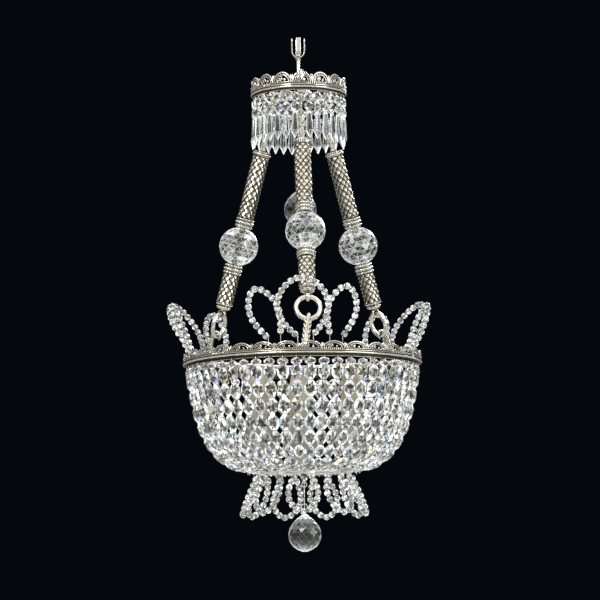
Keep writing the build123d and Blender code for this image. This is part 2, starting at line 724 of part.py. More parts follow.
# --- lamps ------------------------------------------------------------------------
BRIDGE_DROP = RIM_SKIRT_TOP + 2
with BuildPart() as lamp_bridge:
    with BuildSketch(Plane.XY.offset(-BRIDGE_DROP - BRIDGE_THICK)):
        RegularPolygon(BRIDGE_HUB, 12)
        with PolarLocations(skirt_face / 2, ARMS, start_angle=FRONT + 180 / ARMS):
            Rectangle(skirt_face, BRIDGE_WIDTH)
    extrude(amount=BRIDGE_THICK)
save(lamp_bridge.part, "lamp_bridge")

holder_top = -BRIDGE_DROP - BRIDGE_THICK


def lamp_piece(top, length, profile, sides):
    """Lamp part hung at the lamp circle, from shares of its length and their radii."""
    sections = []
    for share, radius in profile:
        level = Plane(origin=(LAMP_RADIUS, 0, top - share * length), z_dir=(0, 0, 1))
        sections.append(corners(level, radius, sides))
    with BuildPart() as group:
        with PolarLocations(0, ARMS, start_angle=FRONT + 180 / ARMS):
            add(faceted(sections))
    return group


lampholders = lamp_piece(
    holder_top, HOLDER_LENGTH,
    ((0, 0.6 * HOLDER_RADIUS), (0.12, 0.8 * HOLDER_RADIUS), (0.4, HOLDER_RADIUS), (1, HOLDER_RADIUS)),
    10,
)
save(lampholders.part, "lampholders")

bulbs = lamp_piece(
    holder_top - HOLDER_LENGTH, BULB_LENGTH,
    ((0, 0.55 * BULB_RADIUS), (0.12, 0.55 * BULB_RADIUS), (0.4, 0.92 * BULB_RADIUS),
     (0.66, BULB_RADIUS), (0.88, 0.72 * BULB_RADIUS), (1, 0.25 * BULB_RADIUS)),
    8,
)
save(bulbs.part, "bulbs")


# --- drops ------------------------------------------------------------------------
def drop_ball(top):
    """Pear-shaped faceted ball below a height."""
    sections = []
    for share, radius in (
        (0, 0.12), (0.1, 0.44), (0.27, 0.8), (0.48, 1.0), (0.62, 1.0), (0.83, 0.78), (1.0, 0.16),
    ):
        level = Plane.XY.offset(-top - share * DROP_BALL_HEIGHT)
        sections.append(corners(level, radius * DROP_BALL_RADIUS, 10))
    return faceted(sections)


CENTRE_PIVOT = STEM_END + SEAT / 2
with BuildPart() as centre_link:
    with BuildSketch(Plane.XY.offset(-CENTRE_BALL_TOP)):
        RegularPolygon(CENTRE_LINK_WIRE, 6)
    extrude(amount=CENTRE_BALL_TOP - CENTRE_PIVOT - SEAT / 2)
save(centre_link.part, "centre_link")
save(drop_ball(CENTRE_BALL_TOP), "centre_ball")

LINK_PIVOT = SPIDER_END + SEAT / 2
BALL_PIVOT = LINK_PIVOT + DROP_LINK_LENGTH


def link_ring(drop, radius):
    """Small wire ring of the link, facing the front."""
    facing = Plane(origin=(0, 0, -drop), x_dir=(1, 0, 0), z_dir=(0, -1, 0))
    return faceted_ring(facing, radius, DROP_WIRE, 6)


with BuildPart() as drop_link:
    with Locations((0, 0, -LINK_PIVOT - SEAT / 2 - DROP_CRYSTAL / 2)):
        add(cut_crystal(DROP_CRYSTAL_WIDTH, DROP_CRYSTAL, CRYSTAL_THICK))
    pin_top = LINK_PIVOT + SEAT / 2 + DROP_CRYSTAL - 1
    with BuildSketch(Plane.XY.offset(-BALL_PIVOT + SEAT / 2)):
        RegularPolygon(DROP_WIRE, 6)
    extrude(amount=BALL_PIVOT - SEAT / 2 - pin_top)
    add(link_ring(LINK_PIVOT + DROP_CRYSTAL + DROP_RING + 1, DROP_RING))
    add(link_ring(BALL_PIVOT - DROP_BOW - 3, DROP_BOW))
save(drop_link.part, "drop_link")
save(drop_ball(BALL_PIVOT + SEAT / 2), "drop_ball")

for name, drop in (("prisms", PRISM_PIVOT), ("centre", CENTRE_PIVOT), ("link", LINK_PIVOT),
                   ("ball", BALL_PIVOT)):
    print("drop of the pivot,", name, round(drop, 2))
print("radius of the prisms' pivots", round(NET_RADIUS, 2), "first azimuth", round(gap / 2, 3))
print("drop to the lowest point", round(BALL_PIVOT + SEAT / 2 + DROP_BALL_HEIGHT, 1))
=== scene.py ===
"""Looks of the crystal basket chandelier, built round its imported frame.

Sizes are in millimetres, as in the part's source, and become metres when a
piece is made.  Pieces stay where their CAD nodes are, apart from the hoops, which
end higher, and the front fan and the bottom loops, which are bent or turned a little.
"""

import json
import logging
import math
from dataclasses import dataclass, replace
from enum import Enum
from typing import Callable, Iterable, Sequence

import bmesh
import bpy
import numpy as np
from mathutils import Matrix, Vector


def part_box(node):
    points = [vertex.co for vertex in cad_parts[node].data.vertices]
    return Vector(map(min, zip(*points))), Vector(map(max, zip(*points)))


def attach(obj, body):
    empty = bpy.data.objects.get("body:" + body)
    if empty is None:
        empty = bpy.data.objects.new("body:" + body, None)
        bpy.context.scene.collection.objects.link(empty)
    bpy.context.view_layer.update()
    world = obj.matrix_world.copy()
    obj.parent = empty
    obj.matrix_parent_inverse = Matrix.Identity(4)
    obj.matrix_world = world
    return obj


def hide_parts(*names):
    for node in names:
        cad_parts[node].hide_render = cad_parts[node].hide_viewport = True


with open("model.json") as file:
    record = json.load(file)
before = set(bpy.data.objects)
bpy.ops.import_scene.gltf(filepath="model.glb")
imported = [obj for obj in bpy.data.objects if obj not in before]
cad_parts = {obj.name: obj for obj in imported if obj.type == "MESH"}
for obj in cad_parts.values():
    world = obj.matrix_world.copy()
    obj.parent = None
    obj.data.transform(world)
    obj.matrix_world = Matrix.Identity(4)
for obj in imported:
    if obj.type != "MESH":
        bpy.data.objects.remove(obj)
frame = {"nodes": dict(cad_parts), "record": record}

LOG = logging.getLogger("chandelier")
Array = np.ndarray
Colour = tuple[float, float, float]
Stop = tuple[float, Colour]
MM = 0.001
FRONT = -90.0
ARMS = 3
BODY = "chandelier"
SEED = 20
# recesses found within this reach get painted shade on the metal
RECESS = 0.003  # reach of the search for recesses, in metres
DENT = 0.0004  # depth of the plating's dents, in metres


class Slot(Enum):
    """Material slots of the record."""

    METAL = "silvered_brass"
    CRYSTAL = "cut_crystal"
    BULB = "bulb_glass"
    IVORY = "ivory_plastic"


# --- surfaces -----------------------------------------------------------------
@dataclass
class Net:
    """Faces over shared points.

    Args:
        points: one row of three coordinates for each point.
        corners: point numbers of all faces, face after face.
        sizes: how many corners each face has.
        smooth: whether each face shades smoothly.
        tone: depth of each point in the relief, from 0 to 1, which sets its painted shade.
        shine: painted brightness of each face, from shade to flash, 0 to 1.
    """

    points: Array
    corners: Array
    sizes: Array
    smooth: Array
    tone: Array | None = None
    shine: Array | None = None

    def __post_init__(self) -> None:
        """A net without tones is all height of the relief; one without shines is half bright."""
        if self.tone is None:
            self.tone = np.zeros(len(self.points))
        if self.shine is None:
            self.shine = np.full(len(self.sizes), 0.5)

    def at(self, frames: Array) -> "Net":
        """Copies of the net: each point is the frame's axes times the point, plus its place.

        Args:
            frames: one 4 x 4 matrix for each copy.

        Returns:
            All copies as one net.
        """
        count = len(frames)
        moved = np.einsum("nij,pj->npi", frames[:, :3, :3], self.points)
        moved = moved + frames[:, None, :3, 3]
        step = np.arange(count)[:, None] * len(self.points)
        return Net(
            moved.reshape(-1, 3),
            (self.corners[None] + step).ravel(),
            np.tile(self.sizes, count),
            np.tile(self.smooth, count),
            np.tile(self.tone, count),
            np.tile(self.shine, count),
        )

    def mapped(self, change: Callable[[Array], Array]) -> "Net":
        """The same faces over changed points."""
        return replace(self, points=change(self.points))

    def toned(self, tone: Array | float) -> "Net":
        """The same net with other tones."""
        tone = np.asarray(tone, float).ravel()
        return replace(self, tone=np.broadcast_to(tone, (len(self.points),)).copy())

    def shone(self, shine: Array | float) -> "Net":
        """The same net with other shines."""
        shine = np.asarray(shine, float).ravel()
        return replace(self, shine=np.broadcast_to(shine, (len(self.sizes),)).copy())

    def grown(self, rows: Array, points: Array | None = None,
              shine: Array | float = 0.5) -> "Net":
        """The net with more flat faces of equal size.

        Args:
            rows: one row of point numbers for each new face.
            points: new points, numbered on from the old ones.
            shine: brightness of the new faces.

        Returns:
            The larger net.
        """
        more = np.zeros((0, 3)) if points is None else points
        return Net(
            np.concatenate([self.points, more]),
            np.concatenate([self.corners, rows.ravel()]),
            np.concatenate([self.sizes, np.full(len(rows), rows.shape[1])]),
            np.concatenate([self.smooth, np.full(len(rows), False)]),
            np.concatenate([self.tone, np.zeros(len(more))]),
            np.concatenate([self.shine, np.broadcast_to(shine, (len(rows),))]),
        )


def joined(nets: Iterable[Net]) -> Net:
    """One net out of several, with the point numbers moved on by the points before them."""
    nets = list(nets)
    starts = np.cumsum([0] + [len(net.points) for net in nets[:-1]])
    return Net(
        np.concatenate([net.points for net in nets]),
        np.concatenate([net.corners + start for net, start in zip(nets, starts)]),
        np.concatenate([net.sizes for net in nets]),
        np.concatenate([net.smooth for net in nets]),
        np.concatenate([net.tone for net in nets]),
        np.concatenate([net.shine for net in nets]),
    )


def faces(points: Array, rows: Array, smooth: bool = False) -> Net:
    """Net out of points and faces of equal size.

    Args:
        points: the points.
        rows: one row of point numbers for each face.
        smooth: whether the faces shade smoothly.

    Returns:
        The net.
    """
    return Net(points, rows.ravel(), np.full(len(rows), rows.shape[1]), np.full(len(rows), smooth))


def sheet(points: Array, close_rows: bool = False, smooth: bool = True) -> Net:
    """Quads over a grid: face (i, j) joins (i, j), (i, j+1), (i+1, j+1) and (i+1, j).

    The last column joins the first.  The last row joins the first too, or else a flat face
    closes each of them.

    Args:
        points: grid of points, rows by columns by three.
        close_rows: whether the last row joins the first.
        smooth: whether the faces shade smoothly.

    Returns:
        The closed net.
    """
    rows, columns = points.shape[:2]
    index = np.arange(rows * columns).reshape(rows, columns)
    ends = np.stack([index[0, ::-1], index[-1]])
    if close_rows:
        index = np.concatenate([index, index[:1]], axis=0)
    index = np.concatenate([index, index[:, :1]], axis=1)
    quads = np.stack([index[:-1, :-1], index[:-1, 1:], index[1:, 1:], index[1:, :-1]], axis=-1)
    net = faces(points.reshape(-1, 3), quads.reshape(-1, 4), smooth)
    return net if close_rows else net.grown(ends)


def lathe(profile: Array, sides: int, swell: Array | None = None, smooth: bool = True,
          hollow: bool = False) -> Net:
    """Turned surface: the point is radius times cosine and sine of the turn, at the height.

    Args:
        profile: rows of radius and height, from below upwards.
        sides: points round.
        swell: factor on the radius for each profile row and side.
        smooth: whether the faces shade smoothly.
        hollow: whether the profile is a closed outline, such as a ring's.

    Returns:
        The closed net round the Z axis.
    """
    turn = np.linspace(0, 2 * np.pi, sides, endpoint=False)
    radius = profile[:, :1] * (np.ones((1, sides)) if swell is None else swell)
    points = np.stack(
        [radius * np.cos(turn), radius * np.sin(turn), np.repeat(profile[:, 1:2], sides, axis=1)],
        axis=-1,
    )
    return sheet(points, close_rows=hollow, smooth=smooth)


def tube(path: Array, radius: float | Array, sides: int, normal: Sequence[float],
         closed: bool = False, flat: float = 1.0, smooth: bool = True, power: float = 1.0) -> Net:
    """Bar along a path, round or nearly square.

    Each point is the path's point plus the radius times the cosine of the turn along the
    side direction and its sine, times flat, along the other.  The side direction is the
    normal crossed with the path's direction.

    Args:
        path: points of the bar's middle line.
        radius: one radius, or one for each point.
        sides: points round the bar.
        normal: direction that the path isn't parallel to.
        closed: whether the path returns to its start.
        flat: size along the normal as a share of the radius.
        smooth: whether the faces shade smoothly.
        power: power that the cosine and the sine are raised to; small makes the bar square.

    Returns:
        The closed net.
    """
    if closed:
        ahead = np.roll(path, -1, axis=0) - np.roll(path, 1, axis=0)
    else:
        ahead = np.gradient(path, axis=0)
    ahead = unit(ahead)
    side = unit(np.cross(np.broadcast_to(np.asarray(normal, float), ahead.shape), ahead))
    other = np.cross(ahead, side)
    turn = np.linspace(0, 2 * np.pi, sides, endpoint=False)[None, :, None]
    size = np.broadcast_to(np.asarray(radius, float), (len(path),))[:, None, None]
    wide, deep = (np.sign(wave) * np.abs(wave) ** power for wave in (np.cos(turn), np.sin(turn)))
    ring = wide * side[:, None] + flat * deep * other[:, None]
    return sheet(path[:, None] + size * ring, close_rows=closed, smooth=smooth)


def unit(vectors: Array) -> Array:
    """Each vector divided by its length."""
    return vectors / np.linalg.norm(vectors, axis=-1, keepdims=True)


def brilliant(radii: Sequence[float], heights: Sequence[float], sides: int,
              shines: Sequence[float] | None = None, bore: float = 0.0) -> Net:
    """Cut ball: rings of corners, every other ring turned half a step, joined by triangles.

    Args:
        radii: radius of each ring, from below upwards.
        heights: height of each ring.
        sides: corners of a ring.
        shines: painted brightness of the facets between one ring and the next.
        bore: radius of a hole through the middle; none if it is 0.

    Returns:
        The closed net with flat facets.
    """
    rings = len(radii)
    half = (np.arange(rings) % 2)[:, None] / 2
    turn = (np.arange(sides)[None] + half) * 2 * np.pi / sides
    radius = np.asarray(radii, float)[:, None]
    points = np.stack(
        [radius * np.cos(turn), radius * np.sin(turn),
         np.repeat(np.asarray(heights, float)[:, None], sides, axis=1)], axis=-1,
    )
    index = np.arange(rings * sides).reshape(rings, sides)
    after = np.roll(index, -1, axis=1)
    low, low_after, high, high_after = index[:-1], after[:-1], index[1:], after[1:]
    plain = np.stack([low, low_after, high, low_after, high_after, high], axis=-1)
    turned = np.stack([low, high_after, high, low, low_after, high_after], axis=-1)
    odd = (np.arange(rings - 1) % 2 == 1)[:, None, None]
    triangles = np.where(odd, turned, plain).reshape(-1, 3)
    net = faces(points.reshape(-1, 3), triangles)
    if shines is not None:
        net = net.shone(np.repeat(np.asarray(shines, float), 2 * sides))
    if not bore:
        # painted flash on the two flat ends
        return net.grown(np.stack([index[0, ::-1], index[-1]]), shine=0.7)
    shrink = bore / radius[[0, -1], :, None]
    inner = points[[0, -1]] * np.concatenate([shrink, shrink, np.ones_like(shrink)], axis=-1)
    wall = np.arange(2 * sides).reshape(2, sides) + rings * sides
    loops = np.stack([index[-1], wall[1], wall[0], index[0]])
    behind = np.roll(loops, -1, axis=1)
    quads = np.stack([loops[:-1], behind[:-1], behind[1:], loops[1:]], axis=-1).reshape(-1, 4)
    # painted flash on the bore's two rims, painted shade on its wall
    return net.grown(quads, inner.reshape(-1, 3), np.repeat([0.8, 0.1, 0.8], sides))


def octagon(table: float = 0.29, shines: tuple[float, float, float] = (0.36, 0.42, 0.66)) -> Net:
    """Octagon crystal of unit width, height and thickness: x across, y through, z up.

    The girdle has eight corners; the table on each side has eight more, turned by half a
    step, and a point in the middle.  Twenty-four triangles on each side join them as a star.

    Args:
        table: radius of the flat table.
        shines: painted brightness of the table, of the facets beside it and of those at the girdle.

    Returns:
        The closed net of 48 flat facets.
    """
    turn = (np.arange(8) + 0.5) * np.pi / 4
    girdle = in_plane(np.cos(turn), np.sin(turn)) / (2 * math.cos(np.pi / 8))
    flat = in_plane(np.cos(turn - np.pi / 8), np.sin(turn - np.pi / 8)) * table
    points = np.concatenate([girdle, flat - [0, 0.44, 0], flat + [0, 0.44, 0],
                             [[0, -0.5, 0], [0, 0.5, 0]]])
    ring = np.arange(8)
    after = (ring + 1) % 8
    rows = []
    for start, point in ((8, 24), (16, 25)):
        rows.append(np.stack([ring, start + ring, start + after], axis=-1))
        rows.append(np.stack([ring, start + after, after], axis=-1))
        rows.append(np.stack([start + ring, np.full(8, point), start + after], axis=-1))
    middle, beside, edge = shines
    return faces(points, np.concatenate(rows)).shone(np.repeat([beside, edge, middle] * 2, 8))


def edged(net: Net, width: float, gain: float) -> Net:
    """The net with a narrow border of painted highlight inside every face, in the face's own plane.

    With the unit vectors a and b along the two edges at a corner, the inner corner is the
    outer one plus the width times (a + b) over the length of a crossed with b.  The width is
    at most 0.4 of the face's area over half its outline.

    Args:
        net: cut shape with flat faces.
        width: width of the borders.
        gain: how much brighter than its face a border is.

    Returns:
        The net with one more face on each side of every face.
    """
    starts = np.concatenate([[0], np.cumsum(net.sizes)[:-1]])
    owner = np.repeat(np.arange(len(net.sizes)), net.sizes)
    place = np.arange(len(net.corners))
    after = np.where(place + 1 == (starts + net.sizes)[owner], starts[owner], place + 1)
    before = np.empty_like(after)
    before[after] = place
    outer = net.points[net.corners]
    first = outer[starts][owner]
    area = np.zeros((len(net.sizes), 3))
    np.add.at(area, owner, np.cross(outer - first, outer[after] - first) / 2)
    outline = np.bincount(owner, np.linalg.norm(outer[after] - outer, axis=1))
    limit = np.minimum(width, 0.8 * np.linalg.norm(area, axis=1) / outline)[owner, None]
    ahead, behind = unit(outer[after] - outer), unit(outer[before] - outer)
    spread = np.linalg.norm(np.cross(ahead, behind), axis=1, keepdims=True)
    inner = outer + limit * (ahead + behind) / np.maximum(spread, 0.1)
    number = len(net.points) + place
    border = np.stack([net.corners, net.corners[after], number[after], number], axis=-1)
    shine = np.clip(net.shine[owner] + gain, 0, 0.96)
    return replace(net, corners=number).grown(border, inner, shine)


def curve(knots: Array, count: int) -> Array:
    """Smooth line through knots, in steps of equal length.

    Between two knots each coordinate is the cubic whose second derivatives at the knots
    solve the natural spline's equations; the chord lengths are the knots' places.

    Args:
        knots: points that the line goes through.
        count: how many points to give back.

    Returns:
        The points, from the first knot to the last.
    """
    knots = np.asarray(knots, float)
    place = np.concatenate([[0.0], np.cumsum(np.linalg.norm(np.diff(knots, axis=0), axis=1))])
    step = np.diff(place)[:, None]
    slope = np.diff(knots, axis=0) / step
    size = len(knots)
    system = np.eye(size)
    inner = np.arange(1, size - 1)
    system[inner, inner - 1] = step[:-1, 0]
    system[inner, inner] = 2 * (step[:-1, 0] + step[1:, 0])
    system[inner, inner + 1] = step[1:, 0]
    right = np.zeros_like(knots)
    right[1:-1] = 6 * np.diff(slope, axis=0)
    bend = np.linalg.solve(system, right)
    fine = np.linspace(0, place[-1], 24 * size)
    part = np.clip(np.searchsorted(place, fine, side="right") - 1, 0, size - 2)
    width = step[part]
    after = (fine - place[part])[:, None] / width
    before = 1 - after
    pull = (before**3 - before) * bend[part] + (after**3 - after) * bend[part + 1]
    line = before * knots[part] + after * knots[part + 1] + pull * width**2 / 6
    along = np.concatenate([[0.0], np.cumsum(np.linalg.norm(np.diff(line, axis=0), axis=1))])
    even = np.linspace(0, along[-1], count)
    return np.stack([np.interp(even, along, values) for values in line.T], axis=-1)


def frames_at(places: Array, across: Array, up: Array, sizes: Array | None = None) -> Array:
    """Matrices whose columns are across, up crossed with across, up, and the place.

    Args:
        places: origin of each frame.
        across: x direction of each frame, of unit length.
        up: z direction of each frame, of unit length and square to across.
        sizes: lengths of the three axes for each frame.

    Returns:
        One 4 x 4 matrix for each frame.
    """
    frames = np.zeros((len(places), 4, 4))
    axes = np.stack([across, np.cross(up, across), up], axis=-1)
    frames[:, :3, :3] = axes if sizes is None else axes * sizes[:, None, :]
    frames[:, :3, 3] = places
    frames[:, 3, 3] = 1
    return frames


def polar(radius: float | Array, azimuth: float | Array, height: float | Array = 0.0) -> Array:
    """Points at a radius and an azimuth in degrees from the axis."""
    turn = np.radians(azimuth)
    radius, turn, height = np.broadcast_arrays(radius, turn, height)
    return np.stack([radius * np.cos(turn), radius * np.sin(turn), height], axis=-1).astype(float)


def turns(azimuths: Array) -> Array:
    """Frames turned about the chandelier's axis by azimuths in degrees."""
    azimuths = np.asarray(azimuths, float)
    up = np.broadcast_to([0.0, 0.0, 1.0], (len(azimuths), 3))
    return frames_at(np.zeros((len(azimuths), 3)), polar(1.0, azimuths), up)


def spread(count: int, first: float = FRONT) -> Array:
    """Azimuths in equal steps round the chandelier, in degrees."""
    return first + np.arange(count) * 360 / count


def thirds(first: float = FRONT) -> Array:
    """Frames turned to the azimuths of the three arms, or to three others as far apart."""
    return turns(spread(ARMS, first))


def in_plane(x: Array | float, z: Array | float) -> Array:
    """Points in the plane y = 0."""
    x, z = np.broadcast_arrays(np.asarray(x, float), np.asarray(z, float))
    return np.stack([x, np.zeros(x.shape), z], axis=-1)


def circle(radii: float | Sequence[float], count: int, middle: Sequence[float] = (0, 0, 0),
           axis: int = 0) -> Array:
    """Upright circle: the turn's cosine along one level axis and its sine upwards.

    Args:
        radii: radius, or half width and half height.
        count: how many points.
        middle: middle of the circle.
        axis: 0 for a circle along x, 1 for one along y.

    Returns:
        The points.
    """
    turn = np.linspace(0, 2 * np.pi, count, endpoint=False)
    wide, high = np.broadcast_to(radii, (2,))
    points = np.zeros((count, 3))
    points[:, axis], points[:, 2] = wide * np.cos(turn), high * np.sin(turn)
    return points + middle


def levels_of(name: str) -> tuple[float, float]:
    """Lowest and highest level of a CAD node, in millimetres."""
    low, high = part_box(name)
    return low[2] / MM, high[2] / MM


def solids_of(node: str) -> list[Array]:
    """Corner points of each separate solid of a CAD node, in millimetres.

    Points that agree to a micrometre are one.  Each point starts with its own number and
    takes the lowest number in its triangles, again and again, until nothing changes.
    """
    mesh = frame["nodes"][node].data
    places = np.empty(len(mesh.vertices) * 3)
    mesh.vertices.foreach_get("co", places)
    corners = np.empty(len(mesh.loops), dtype=np.int32)
    mesh.loops.foreach_get("vertex_index", corners)
    points, number = np.unique(
        np.round(places.reshape(-1, 3) / MM, 3), axis=0, return_inverse=True
    )
    triangles = number.ravel()[corners].reshape(-1, 3)
    label = np.arange(len(points))
    changed = True
    while changed:
        lowest = label.copy()
        np.minimum.at(lowest, triangles.ravel(), np.repeat(label[triangles].min(axis=1), 3))
        changed = bool((lowest != label).any())
        label = lowest
    return [points[label == each] for each in np.unique(label)]


# --- finishes ------------------------------------------------------------------
def tree_of(material: bpy.types.Material) -> tuple[bpy.types.NodeTree, bpy.types.Node]:
    """Clears a material and gives its tree and a Principled shader on the output."""
    material.use_nodes = True
    tree = material.node_tree
    tree.nodes.clear()
    output = tree.nodes.new("ShaderNodeOutputMaterial")
    shader = tree.nodes.new("ShaderNodeBsdfPrincipled")
    tree.links.new(shader.outputs["BSDF"], output.inputs["Surface"])
    return tree, shader


def fill(tree: bpy.types.NodeTree, made: bpy.types.Node, **inputs: object) -> None:
    """Sets the inputs of a node; each is a value or an output socket to link.

    Args:
        tree: node tree.
        made: the node.
        inputs: socket names with underscores for spaces, or "in0" and so on by place.
    """
    for name, value in inputs.items():
        socket = made.inputs[int(name[2:]) if name[:2] == "in" else name.replace("_", " ")]
        if isinstance(value, bpy.types.NodeSocket):
            tree.links.new(value, socket)
        else:
            socket.default_value = value


def node(tree: bpy.types.NodeTree, kind: str, settings: dict[str, object] | None = None,
         **inputs: object) -> bpy.types.Node:
    """Adds a node and fills its inputs.

    Args:
        tree: node tree.
        kind: node type without its ShaderNode prefix.
        settings: properties of the node itself.
        inputs: its inputs, as fill takes them.

    Returns:
        The new node.
    """
    made = tree.nodes.new("ShaderNode" + kind)
    for name, value in (settings or {}).items():
        setattr(made, name, value)
    fill(tree, made, **inputs)
    return made


def maths(tree: bpy.types.NodeTree, operation: str, first: object, second: object,
          clamp: bool = False) -> bpy.types.NodeSocket:
    """Result of an operation on two values or sockets."""
    settings = {"operation": operation, "use_clamp": clamp}
    return node(tree, "Math", settings, in0=first, in1=second).outputs[0]


def blend(tree: bpy.types.NodeTree, share: object, first: object, second: object,
          mode: str = "MIX") -> bpy.types.NodeSocket:
    """Two colours blended by a share."""
    settings = {"data_type": "RGBA", "blend_type": mode}
    return node(tree, "Mix", settings, in0=share, in6=first, in7=second).outputs[2]


def ramp(tree: bpy.types.NodeTree, factor: bpy.types.NodeSocket, stops: Sequence[Stop],
         steps: bool = False) -> bpy.types.NodeSocket:
    """Colour ramp of the given stops; steps makes it change without blending."""
    made = node(tree, "ValToRGB", in0=factor)
    band = made.color_ramp
    band.interpolation = "CONSTANT" if steps else "LINEAR"
    while len(band.elements) < len(stops):
        band.elements.new(0.5)
    for element, (place, colour) in zip(band.elements, stops):
        element.position = place
        element.color = (*colour, 1.0)
    return made.outputs["Color"]


def sockets(group: bpy.types.NodeTree, inputs: dict[str, tuple[str, object]],
            outputs: dict[str, str]) -> tuple[bpy.types.Node, bpy.types.Node]:
    """Gives a node group its sockets and its two end nodes."""
    for name, (kind, default) in inputs.items():
        group.interface.new_socket(name, in_out="INPUT", socket_type=kind).default_value = default
    for name, kind in outputs.items():
        group.interface.new_socket(name, in_out="OUTPUT", socket_type=kind)
    return group.nodes.new("NodeGroupInput"), group.nodes.new("NodeGroupOutput")


def painted_shade_group() -> bpy.types.NodeTree:
    """Node group of worn plating with painted shade: the colour of high places, the painted
    shade of low places, roughness and dents.

    Recesses, which get the painted shade, are found by ambient occlusion and by the
    points' tone, broken up by noise at two scales.
    """
    group = bpy.data.node_groups.new("painted_shade", "ShaderNodeTree")
    entry, leave = sockets(
        group,
        {
            "Bright": ("NodeSocketColor", (0.9, 0.89, 0.85, 1)),
            "Worn": ("NodeSocketColor", (0.6, 0.55, 0.44, 1)),
            # colour of the painted shade in recesses
            "Dark": ("NodeSocketColor", (0.1, 0.07, 0.03, 1)),
            "Amount": ("NodeSocketFloat", 1.0),
            "Polish": ("NodeSocketFloat", 0.2),
            "Dents": ("NodeSocketFloat", 0.15),
        },
        {"Color": "NodeSocketColor", "Roughness": "NodeSocketFloat", "Normal": "NodeSocketVector"},
    )
    place = node(group, "TexCoord").outputs["Object"]
    # painted shade: ambient occlusion and the tone attribute darken the colour in recesses
    hollow = node(group, "AmbientOcclusion", {"samples": 4, "inside": False}, Distance=RECESS)
    coarse = node(group, "TexNoise", Vector=place, Scale=90.0, Detail=3.0)
    fine = node(group, "TexNoise", Vector=place, Scale=700.0, Detail=2.0)
    shade = maths(group, "SUBTRACT", 1.0, hollow.outputs["AO"])
    shade = maths(group, "MULTIPLY", shade, entry.outputs["Amount"])
    relief = node(group, "Attribute", {"attribute_name": "tone"}).outputs["Fac"]
    shade = maths(group, "ADD", shade, relief)
    spread = node(group, "MapRange", in0=coarse.outputs["Fac"], in1=0.3, in2=0.75, in3=-0.14,
                  in4=0.16)
    mask = maths(group, "ADD", shade, spread.outputs[0], clamp=True)
    wear = node(group, "MapRange", in0=fine.outputs["Fac"], in1=0.35, in2=0.7)
    high = blend(group, wear.outputs[0], entry.outputs["Bright"], entry.outputs["Worn"])
    depth = node(group, "MapRange", in0=mask, in1=0.16, in2=0.7)
    # the painted shade's dark colour is blended in where the recess mask is high
    colour = blend(group, depth.outputs[0], high, entry.outputs["Dark"])
    rough = node(group, "MapRange", in0=mask, in1=0.0, in2=1.0, in3=0.0, in4=0.35)
    rough = maths(group, "ADD", rough.outputs[0], entry.outputs["Polish"])
    bump = node(group, "Bump", Strength=entry.outputs["Dents"], Distance=DENT,
                Height=coarse.outputs["Fac"])
    fill(group, leave, Color=colour, Roughness=rough, Normal=bump.outputs[0])
    return group


def painted_facet_light_group() -> bpy.types.NodeTree:
    """Node group of cut glass: each facet's painted shade and painted flash, a few flashes
    coloured.

    The "facet" attribute is the painted brightness of a face and "spark" picks the
    colour of its flash.
    """
    group = bpy.data.node_groups.new("facets", "ShaderNodeTree")
    entry, leave = sockets(
        group,
        {"Flash": ("NodeSocketFloat", 1.0), "Spark": ("NodeSocketFloat", 1.0)},
        {"Color": "NodeSocketColor", "Glow": "NodeSocketColor", "Roughness": "NodeSocketFloat"},
    )
    facet = node(group, "Attribute", {"attribute_name": "facet"}).outputs["Fac"]
    spark = node(group, "Attribute", {"attribute_name": "spark"}).outputs["Fac"]
    # base colour painted from near black on shaded facets to white on bright ones
    body = ramp(group, facet, (
        (0.0, (0.03, 0.032, 0.032)), (0.18, (0.16, 0.165, 0.16)), (0.32, (0.42, 0.39, 0.3)),
        (0.48, (0.74, 0.75, 0.74)), (0.7, (0.95, 0.96, 0.96)),
    ))
    # painted flash, given out as glow by the bright facets
    flash = ramp(group, facet, (
        (0.0, (0, 0, 0)), (0.36, (0.002, 0.002, 0.002)), (0.55, (0.035, 0.036, 0.038)),
        (0.72, (0.13, 0.132, 0.13)), (0.86, (0.36, 0.365, 0.36)), (1.0, (0.78, 0.79, 0.77)),
    ))
    # painted coloured sparkle on a few facets
    hue = ramp(group, spark, (
        (0.0, (1, 1, 1)), (0.83, (0.16, 0.36, 1.0)), (0.87, (1.0, 0.45, 0.1)),
        (0.91, (0.2, 0.8, 1.0)), (0.94, (1.0, 0.85, 0.3)), (0.975, (0.55, 0.4, 1.0)),
    ), steps=True)
    tint = blend(group, entry.outputs["Spark"], (1, 1, 1, 1), hue)
    lit = blend(group, 1.0, flash, tint, "MULTIPLY")
    glow = blend(group, entry.outputs["Flash"], (0, 0, 0, 1), lit)
    rough = node(group, "MapRange", in0=facet, in1=0.0, in2=1.0, in3=0.0, in4=0.06)
    fill(group, leave, Color=body, Glow=glow, Roughness=rough.outputs[0])
    return group


@dataclass(frozen=True)
class Metal:
    """Silvered brass, brighter or browner, with painted shade in its recesses."""

    name: str
    bright: Colour
    worn: Colour
    dark: Colour
    # strength of the painted shade in recesses
    amount: float = 1.2
    polish: float = 0.2

    def build(self, groups: dict[str, bpy.types.NodeTree]) -> bpy.types.Material:
        """Material of this finish."""
        material = bpy.data.materials.new(self.name)
        tree, shader = tree_of(material)
        worn = node(tree, "Group", {"node_tree": groups["painted_shade"]}, Bright=(*self.bright, 1),
                    Worn=(*self.worn, 1), Dark=(*self.dark, 1), Amount=self.amount,
                    Polish=self.polish).outputs
        fill(tree, shader, Metallic=1.0, Base_Color=worn["Color"], Roughness=worn["Roughness"],
             Normal=worn["Normal"])
        return material


